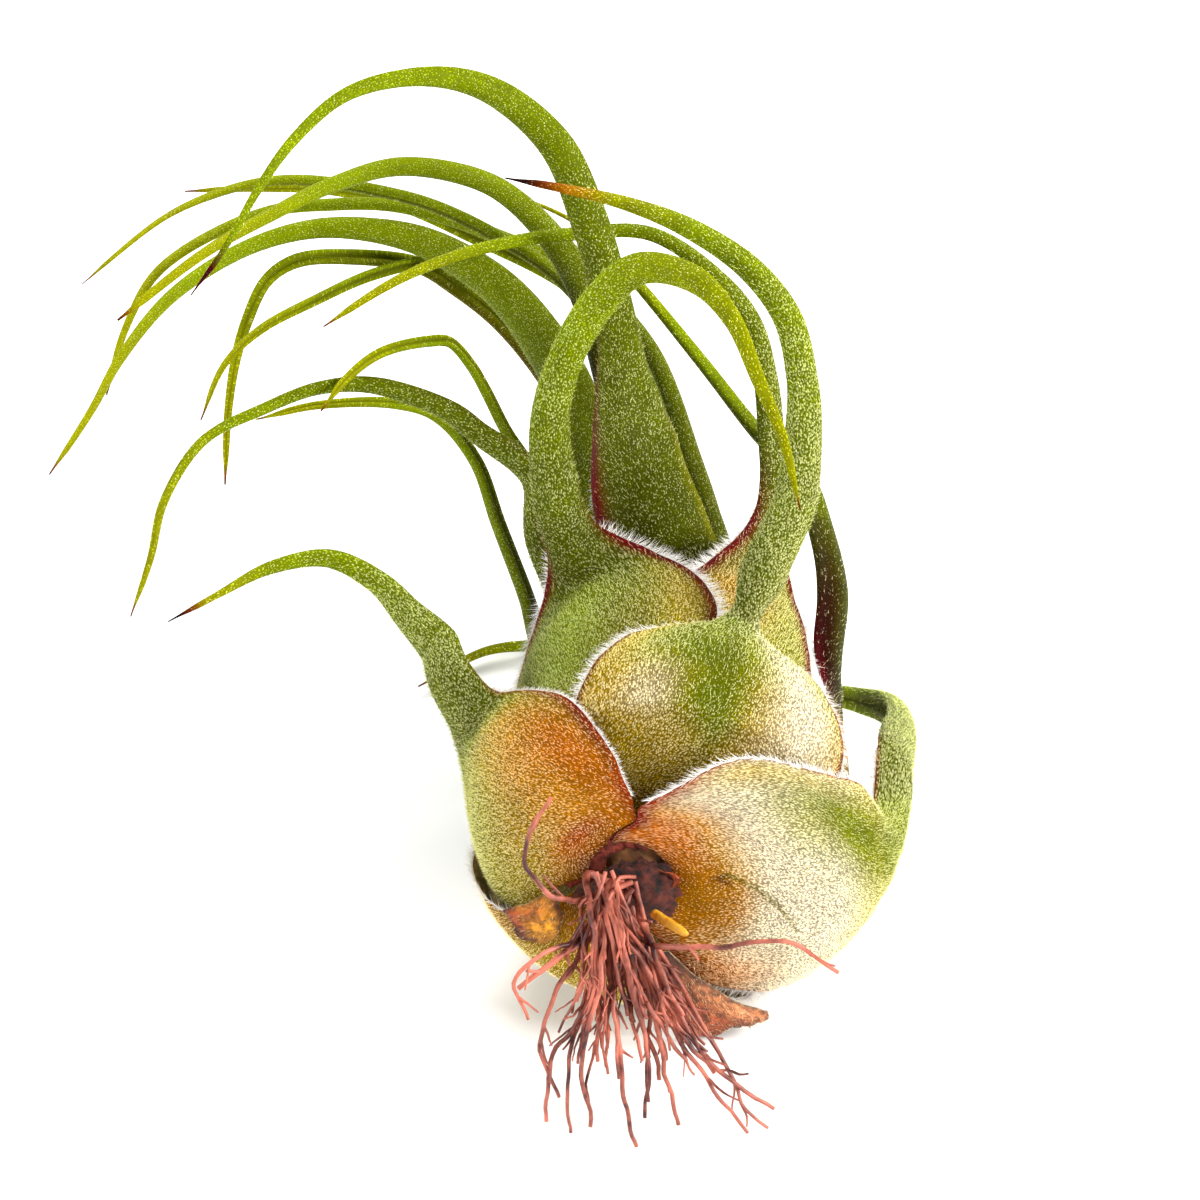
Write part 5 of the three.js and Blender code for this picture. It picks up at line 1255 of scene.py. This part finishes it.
def keptOnPoints(tree, name, kind="FLOAT_VECTOR"):
    node = addNode(tree, "GeometryNodeInputNamedAttribute", {"Name": name}, data_type=kind)
    return node.outputs["Attribute"]


thingLook = {"sizes": (0.55, 1.25), "sides": 3, "scaleFlatness": 0.5, "alongGrain": 0.7, "scatter": 0.35}


# Short pointed things set on points, each of its own size
def pointedThings(tree, given, points, direction, flatness):
    turn = addNode(tree, "FunctionNodeAlignRotationToVector", {"Vector": direction}, axis="Z")
    cone = addNode(tree, "GeometryNodeMeshCone", {
        "Vertices": thingLook["sides"], "Radius Top": 0.0, "Radius Bottom": 1.0, "Depth": 1.0,
    }, fill_type="NONE")
    index = addNode(tree, "GeometryNodeInputIndex").outputs[0]
    vary = addNode(tree, "FunctionNodeRandomValue", {
        2: thingLook["sizes"][0], 3: thingLook["sizes"][1], "Seed": given["Seed"], "ID": index,
    }, data_type="FLOAT")
    size = addNode(tree, "ShaderNodeCombineXYZ", {
        "X": given["Width"], "Y": product(tree, given["Width"], flatness), "Z": given["Length"],
    }).outputs[0]
    return addNode(tree, "GeometryNodeInstanceOnPoints", {
        "Points": points, "Instance": cone.outputs["Mesh"], "Rotation": turn.outputs["Rotation"],
        "Scale": scaleVector(tree, size, vary.outputs[1]),
    }).outputs["Instances"]


def randomVector(tree, seed):
    return addNode(tree, "FunctionNodeRandomValue", {
        0: (-1, -1, -1), 1: (1, 1, 1), "Seed": seed,
    }, data_type="FLOAT_VECTOR").outputs[0]


def scalesTree():
    tree, given, made = newGroup("silverScales", "GeometryNodeTree", {
        "Geometry": None, "Density": 3e6, "Length": 0.0004, "Width": 0.0001, "Lift": 0.7, "Seed": 1,
    }, {"Geometry": None})
    density = product(tree, keptOnPoints(tree, "fuzz", "FLOAT"), given["Density"])
    spots = addNode(tree, "GeometryNodeDistributePointsOnFaces", {
        "Mesh": given["Geometry"], "Density": density, "Seed": given["Seed"],
    }).outputs
    kept = addNode(tree, "GeometryNodeCaptureAttribute", {"Geometry": spots["Points"]})
    kept.capture_items.new("VECTOR", "Normal")
    setInputs(tree, kept, {"Normal": spots["Normal"]})
    direction = vectorSum(tree, (kept.outputs["Normal"], given["Lift"]),
                          (keptOnPoints(tree, "grain"), thingLook["alongGrain"]),
                          (randomVector(tree, given["Seed"]), thingLook["scatter"]))
    scales = pointedThings(tree, given, kept.outputs["Geometry"], direction, thingLook["scaleFlatness"])
    return finishTree(tree, made, scales, materials["silverScale"])


def hairsTree():
    tree, given, made = newGroup("marginHairs", "GeometryNodeTree", {
        "Geometry": None, "Spacing": 0.00018, "Length": 0.0012, "Width": 0.00005, "Spread": 0.45, "Seed": 1,
    }, {"Geometry": None})
    lines = addNode(tree, "GeometryNodeMeshToCurve", {"Mesh": given["Geometry"]}).outputs["Curve"]
    spots = addNode(tree, "GeometryNodeCurveToPoints", {
        "Curve": lines, "Length": given["Spacing"],
    }, mode="LENGTH").outputs["Points"]
    direction = vectorSum(tree, (keptOnPoints(tree, "outward"), 1.0),
                          (randomVector(tree, given["Seed"]), given["Spread"]))
    return finishTree(tree, made, pointedThings(tree, given, spots, direction, 1.0), materials["marginHair"])


def rootsTree():
    tree, given, made = newGroup("rootTubes", "GeometryNodeTree", {
        "Geometry": None, "Sides": 7, "Knobs": 0.00016,
    }, {"Geometry": None})
    lines = addNode(tree, "GeometryNodeMeshToCurve", {"Mesh": given["Geometry"]}).outputs["Curve"]
    ring = addNode(tree, "GeometryNodeCurvePrimitiveCircle", {"Resolution": given["Sides"], "Radius": 1.0})
    tube = addNode(tree, "GeometryNodeCurveToMesh", {
        "Curve": lines, "Profile Curve": ring.outputs["Curve"],
        "Scale": keptOnPoints(tree, "thick", "FLOAT"), "Fill Caps": True,
    }).outputs["Mesh"]
    place = addNode(tree, "GeometryNodeInputPosition").outputs[0]
    lumps = noiseNode(tree, rootLook["knobScale"], places=place)["Color"]
    lumps = vectorNode(tree, "SUBTRACT", lumps, (0.5, 0.5, 0.5))
    knobbly = addNode(tree, "GeometryNodeSetPosition", {
        "Geometry": tube, "Offset": scaleVector(tree, lumps, given["Knobs"]),
    }).outputs["Geometry"]
    smooth = addNode(tree, "GeometryNodeSetShadeSmooth", {"Geometry": knobbly}).outputs["Geometry"]
    return finishTree(tree, made, smooth, materials["root"])


# Runs a tree on an object and keeps what it makes as a plain mesh
def growFrom(source, tree, values, name):
    modifier = source.modifiers.new(tree.name, "NODES")
    modifier.node_group = tree
    for item in tree.interface.items_tree:
        if item.item_type == "SOCKET" and item.in_out == "INPUT" and item.name in values:
            modifier[item.identifier] = values[item.name]
    graph = bpy.context.evaluated_depsgraph_get()
    grown = source.evaluated_get(graph)
    mesh = bpy.data.meshes.new_from_object(grown, preserve_all_data_layers=True, depsgraph=graph)
    source.modifiers.remove(modifier)
    mesh.name = name
    return linkObject(name, mesh)


def dressPiece(piece, replaced=None):
    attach(piece, "root")
    if replaced:
        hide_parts(replaced)


scaleCoat = {
    "sheathSkin": {"Density": 9e6, "Length": 0.00045, "Width": 0.00005, "Lift": 0.8},
    "bladeSkin": {"Density": 8.5e6, "Length": 0.00022, "Width": 0.000036, "Lift": 0.85},
}
hairFringe = {"Spacing": 0.00006, "Length": 0.0014, "Width": 0.000045, "Spread": 0.5}
hairLengths = {"leaf_left": 0.0007, "leaf_front": 0.0017, "leaf_mid_right": 0.0017, "leaf_far_right": 0.0016}
hairSpans = {"leaf_tall": (0.1, 1.3, 0.85)}      # growth from, to, and to on the right margin
usualSpan = (0.1, 1.08)
details = {
    "scarred": {"across": 110, "sheathRows": 110, "bladeRows": 70},
    "sheath": {"across": 36, "sheathRows": 60, "bladeRows": 90},
    "blade": {"across": 14, "rows": 110},
}
seeds = {"sheath": 1, "blade": 21, "hairs": 40, "dried": 70}
rootLook = {
    "place": -1.0, "crownAt": (1.4, 0.6, -1.5), "crownRadius": 4.5, "crownLength": 3.2,
    "crownLumps": (0.22, 3.4, 5),          # height, frequency and octaves
    "sink": 0.3, "taper": 0.55, "steps": 34, "divisions": 200, "seed": 5,
    "wobble": (0.4, 0.35, 8),              # how far, its frequency, and the steps till it is full
    "clear": 0.75,                         # mm that the roots' middles stay above the table
    "bundle": 12,                          # the roots that the loose ones are drawn among
    "between": 20, "betweenReach": (0.45, 0.95), "betweenMix": (0.25, 0.75), "betweenSize": (0.5, 0.85),
    "young": 22, "youngReach": (0.4, 0.9), "youngBulge": (0.5, 1.8), "youngSize": (0.45, 0.8),
    "youngX": (-4.4, 1.6), "youngY": 2.4, "youngZ": (0.5, 4.6), "loose": (0.7, 0.5), "looseClear": 0.7,
    "branches": 2, "twigFrom": (10, 4), "twigReach": (1.8, 5.5), "twigSteps": 8, "twigWander": 0.25,
    "twigHeading": (0.9, 0.7), "twigSize": (0.5, 0.28), "twigClear": 0.5,
    "sides": 7, "knobs": 0.00016, "knobScale": 900.0,
}
trees = {"scales": scalesTree(), "hairs": hairsTree(), "roots": rootsTree()}


def dressLeaf(name, rows, skin, seed, hairy):
    leaf = leafObject(name + "_skin", rows, leafPaint.get(name, innerPaint))
    scales = growFrom(leaf, trees["scales"], dict(scaleCoat[skin], Seed=seed), name + "_scales")
    leaf.data.materials.append(materials[skin])
    dressPiece(leaf, name)
    dressPiece(scales)
    if hairy:
        lines = marginObject(name + "_margin", rows, *hairSpans.get(name, usualSpan))
        length = hairLengths.get(name, hairFringe["Length"])
        fringe = dict(hairFringe, Seed=seed + seeds["hairs"], Length=length)
        hairs = growFrom(lines, trees["hairs"], fringe, name + "_hairs")
        bpy.data.objects.remove(lines)
        dressPiece(hairs)


for number, (name, leaf) in enumerate(sheathLeaves.items()):
    fineness = details["scarred" if "scar" in leafPaint[name] else "sheath"]
    fineness = dict(fineness, neck=wall["longNecks"].get(name, wall["neckFlow"]))
    rows = sheathLeafRows(leaf, fineness)
    dressLeaf(name, rows, "sheathSkin", seeds["sheath"] + number, True)
print("sheath leaves grown:", len(sheathLeaves))
for number, (name, leaf) in enumerate(innerLeaves.items()):
    rows = innerLeafRows(leaf, details["blade"])
    dressLeaf(name, rows, "bladeSkin", seeds["blade"] + number, False)
print("inner leaves grown:", len(innerLeaves))


# Dried remains: thin, wrinkled, with a torn edge
driedLook = {
    "thick": 0.3, "rows": 40, "across": 64, "tear": (0.2, 4, 3.1, 3),    # height, frequency, spot and octaves
    "wrinkle": (0.5, 0.12, 0.25, 1.7, 4),                 # height, frequencies, spot and octaves
    "edging": ("umber", 0.6, 0.5), "coat": 0.45,
    "tones": {
        "dried_sheath_right": [(0, "umber"), (0.3, "brown"), (0.75, "rust"), (0.93, "brown"), (1, "umber")],
        "dried_sheath_left": [(0, "brown"), (0.4, "amber"), (0.75, "amber"), (0.9, "rust"), (1, "umber")],
    },
    "patches": {
        "dried_sheath_right": [("blush", 0.6, 0.8, 0.3, 0.4, 0.8), ("rust", 0.5, -0.2, 0.3, 0.4, 0.6)],
        "dried_sheath_left": [("rust", 0.7, 0.5, 0.4, 0.5, 0.8), ("umber", 0.9, -0.6, 0.2, 0.5, 0.7)],
    },
}


def dressDriedSheath(name, leaf):
    look = driedLook
    u = np.linspace(0, 1, look["across"] + 1)[None, :]
    t = np.linspace(0, 1, look["rows"] + 1)[:, None]
    tear, often, spot, octaves = look["tear"]
    torn = fractalAt(u * often, spot, 0.0, octaves)[None, :]
    place = leaf["footAt"] + (leaf["top"] - leaf["footAt"]) * t * (1 - tear * np.abs(torn))
    azimuth = mix(readRows(leaf["edges"], place, 1), readRows(leaf["edges"], place, 2), u)
    height, turnOften, placeOften, spot, octaves = look["wrinkle"]
    folds = fractalAt(azimuth * turnOften, place * placeOften, spot, octaves).reshape(azimuth.shape)
    offset = height * folds * (0.5 + t)
    half = look["thick"] / 2
    outer = sheathPoint(leaf, place + 0 * azimuth, azimuth, offset + half)
    inner = sheathPoint(leaf, place + 0 * azimuth, azimuth, offset - half)
    piece = leafObject(name + "_paper", (outer, inner, t[:, 0]), {
        "ground": look["tones"][name], "patches": look["patches"][name],
        "edging": look["edging"], "coat": look["coat"],
    })
    coat = dict(scaleCoat["sheathSkin"], Seed=seeds["dried"])
    fluff = growFrom(piece, trees["scales"], coat, name + "_scales")
    dressPiece(fluff)
    piece.data.materials.append(materials["driedSheath"])
    dressPiece(piece, name)


for name, leaf in driedSheaths.items():
    dressDriedSheath(name, leaf)
print("dried sheaths made:", len(driedSheaths))


# Middle lines of all roots and their fine branches, with the thickness kept on their points
def rootLines():
    look = rootLook
    draw = np.random.default_rng(look["seed"])
    noise.seed_set(look["seed"])
    middle = onBulb(look["place"], 0, 0)
    points, edges, thick = [], [], []
    share = np.linspace(0, 1, look["steps"])

    def addLine(line, start, end):
        first = len(points)
        points.extend(line * mm)
        thick.extend(mix(start, end, k / (len(line) - 1)) / 2 * mm for k in range(len(line)))
        edges.extend((first + k, first + k + 1) for k in range(len(line) - 1))

    def cutAt(line, reach):
        return np.stack([np.interp(share * reach, share, line[:, k]) for k in range(3)], axis=1)

    def liftTo(line, height):
        line[:, 2] = np.maximum(line[:, 2], height)

    mains = []
    for size, *places in roots:
        places = fromView(places)
        spline = splineThrough(np.vstack([mix(middle, places[0], look["sink"]), places]), look["divisions"])
        mains.append((size, splineAt(spline["points"], np.interp(share, spline["share"], spline["t"]))))
    for _ in range(look["between"]):
        lineA, lineB = (mains[k][1] for k in draw.choice(look["bundle"], 2, replace=False))
        reach = draw.uniform(*look["betweenReach"])
        line = mix(lineA, lineB, draw.uniform(*look["betweenMix"]))
        line = cutAt(line + draw.normal(size=3) * look["loose"][0] * share[:, None], reach)
        liftTo(line, look["looseClear"])
        mains.append((draw.uniform(*look["betweenSize"]), line))
    for _ in range(look["young"]):     # short ones that start on the face of the crown
        size, line = mains[draw.choice(look["bundle"])]
        start = middle + np.array([draw.uniform(*look["youngX"]), -look["crownLength"] / look["youngY"],
                                   draw.uniform(*look["youngZ"])])
        line = cutAt(line + (start - line[0]) * (1 - share[:, None]) ** 2, draw.uniform(*look["youngReach"]))
        bulge = np.sin(share * math.pi)[:, None] * np.array([0, -draw.uniform(*look["youngBulge"]), 0])
        line = line + bulge + draw.normal(size=3) * look["loose"][1] * share[:, None]
        liftTo(line, look["looseClear"])
        mains.append((draw.uniform(*look["youngSize"]), line))

    wobble, often, full = look["wobble"]
    for number, (size, line) in enumerate(mains):
        for k in range(2, len(line)):
            bend = noise.noise_vector(Vector(line[k]) * often + Vector((number * 7.0, 0, 0)))
            line[k] += np.array(bend) * wobble * min(1, k / full)
        liftTo(line, look["clear"])
        addLine(line, size, size * look["taper"])
        for _ in range(look["branches"]):
            k = int(draw.integers(look["twigFrom"][0], look["steps"] - look["twigFrom"][1]))
            heading = unit(line[k] - line[k - 2])
            aside = unit(np.cross(heading, draw.normal(size=3)))
            reach = draw.uniform(*look["twigReach"])
            twig = [line[k]]
            for _ in range(1, look["twigSteps"]):
                aside = unit(aside + look["twigWander"] * draw.normal(size=3))
                ahead, out = look["twigHeading"]
                twig.append(twig[-1] + unit(heading * ahead + aside * out) * reach / look["twigSteps"])
            twig = np.array(twig)
            liftTo(twig, look["twigClear"])
            addLine(twig, *(size * part for part in look["twigSize"]))
    lines = meshObject("rootLines", points, edges, [])
    setAttribute(lines.data, "thick", "FLOAT", thick)
    return lines


# The root crown, set in the hollow at the bulb's base, also stands for the hollow's shade with its near-black
# crust
def crownObject():
    shape = bmesh.new()
    bmesh.ops.create_icosphere(shape, subdivisions=5, radius=1)
    aside, along, lower = rootLook["crownAt"]
    middle = onBulb(along, 0, 0) + np.array([aside, 0, lower])
    sizes = (rootLook["crownRadius"], rootLook["crownLength"] / 2, rootLook["crownRadius"])
    height, often, octaves = rootLook["crownLumps"]
    for vertex in shape.verts:
        spot = vertex.co * (1 + height * noise.fractal(vertex.co * often, 1.0, 2.0, octaves))
        vertex.co = Vector([middle[k] + spot[k] * sizes[k] for k in range(3)]) * mm
    mesh = bpy.data.meshes.new("root_crown")
    shape.to_mesh(mesh)
    shape.free()
    mesh.shade_smooth()
    mesh.materials.append(materials["crown"])
    return linkObject("root_crown", mesh)


# Torn scales of dead tissue round the root crown
crownScales = {
    "count": 15, "seed": 21, "jitter": 22, "rows": 12, "across": 8,
    "from": 3.2, "to": (4.6, 7.4), "width": (1.4, 4.4), "stand": (0.2, 1.0), "thick": 0.1, "cup": 0.3,
    "level": 0.75,                      # mm that they lie outside the bulb's skin
    "bare": (40, 96),                   # azimuths without scales
    "tones": ["brown", "rust", "rust", "umber", "brown"],
    "notches": (0.8, 0.2, 9), "ragged": (0.5, 2.2, 3.7, 2, 0.4), "shade": (0.55, 1.15, 0.5, 900),
    # Those between these azimuths close the view into the bulb
    "closing": (96, 180), "closingShape": (9.6, 6.5, 0.1, -1.2), "closingTone": ("rust", "pink", 0.4),
    "mapSize": 0.1,
}


def crownScalesObject():
    look = crownScales
    draw = np.random.default_rng(look["seed"])
    rows, across = look["rows"], look["across"]
    t, s = np.meshgrid(np.arange(rows + 1) / rows, 2 * np.arange(across + 1) / across - 1, indexing="ij")
    turned = shellFaces(rows + 1, across + 1)[:, (0, 3, 2, 1)]     # these look out of a scale
    points, tints, faces = [], [], []
    for number in range(look["count"]):
        middleTurn = 360 * number / look["count"] + draw.uniform(-look["jitter"], look["jitter"])
        reach, width = draw.uniform(*look["to"]), draw.uniform(*look["width"])
        stand, level = draw.uniform(*look["stand"]), look["level"]
        tone = toneColours[look["tones"][int(draw.integers(5))]]
        if look["bare"][0] < middleTurn < look["bare"][1]:
            continue
        if look["closing"][0] < middleTurn < look["closing"][1]:
            reach, width, stand, level = look["closingShape"]
            base, over, part = look["closingTone"]
            tone = mix(toneColours[base], toneColours[over], part)
        radius = mix(look["from"], reach, t)
        whole, notch, often = look["notches"]
        taper = np.sqrt(np.maximum(0.02, 1 - t ** 3)) * (whole + notch * np.sin(t * often + number))
        turn = middleTurn + np.degrees(s * width / 2 * taper / radius)
        height, *waves, slip = look["ragged"]
        ragged = height * noiseAt(np.stack([s, number + 0 * s, t], -1) * waves) * t
        skin = np.interp(radius, [row[2] for row in bulbSkin[:3]], [row[1] for row in bulbSkin[:3]])
        rise = level + stand * t * t + look["cup"] * s * s
        both = np.stack([onBulb(skin - (rise + half) + slip * ragged, radius + ragged, turn) * mm
                         for half in (look["thick"] / 2, -look["thick"] / 2)])
        low, high, grain, often = look["shade"]
        shade = mix(low, high, t) * (1 + grain * noiseAt(both, often))
        flat = both.reshape(-1, 3)
        faces.append(turned + len(flat) * len(points))
        points.append(flat)
        tints.append(tone * shade.reshape(-1, 1))
    points = np.concatenate(points)
    scales = meshObject("crown_scales", points, [], np.concatenate(faces).tolist())
    scales.data.shade_smooth()
    setTint(scales.data, np.concatenate(tints))
    setMap(scales.data, points[:, (0, 2)] / look["mapSize"])
    scales.data.materials.append(materials["driedSheath"])
    return scales


def youngRootObject():
    rings, sides = youngRoot["rings"], youngRoot["sides"]
    start, end = fromView([youngRoot["from"], youngRoot["to"]])
    start = mix(onBulb(rootLook["place"], 0, 0), start, youngRoot["sink"])
    share = np.arange(rings) / (rings - 1)
    radii = youngRoot["radius"] * youngRoot["thick"] * np.sqrt(np.maximum(0.0, 1 - share ** 6)) + 0.01
    heading = Vector(unit(end - start))
    side = heading.cross(Vector((0, 0, 1))).normalized()
    back = side.cross(heading)
    turn = 2 * math.pi * np.arange(sides)[:, None] / sides
    ring = np.cos(turn) * np.array(side) + np.sin(turn) * np.array(back)
    points = mix(start, end, share[:, None])[:, None, :] + ring[None, :, :] * radii[:, None, None]
    faces = []
    for k in range(rings - 1):
        low, high = k * sides, (k + 1) * sides
        faces += [(low + j, low + (j + 1) % sides, high + (j + 1) % sides, high + j) for j in range(sides)]
    faces += [tuple(range(sides))[::-1], tuple((rings - 1) * sides + j for j in range(sides))]
    root = meshObject("young_root", points.reshape(-1, 3) * mm, [], faces)
    root.data.shade_smooth()
    root.data.materials.append(barkMaterial("youngRootSkin", (214, 138, 12), (244, 190, 60), 0.45, 900.0))
    return root


lines = rootLines()
tuft = growFrom(lines, trees["roots"], {"Sides": rootLook["sides"], "Knobs": rootLook["knobs"]}, "root_tuft")
bpy.data.objects.remove(lines)
for piece in (tuft, crownObject(), crownScalesObject(), youngRootObject()):
    dressPiece(piece, "roots" if piece is tuft else None)
# The stem takes the bark that is painted darker as shade of the hollow
frame["nodes"]["stem"].data.materials.clear()
frame["nodes"]["stem"].data.materials.append(materials["stem"])
print("roots grown")

total = sum(len(face.vertices) - 2 for piece in bpy.context.scene.objects if piece.type == "MESH"
            for face in piece.data.polygons)
print("triangles in all:", total)
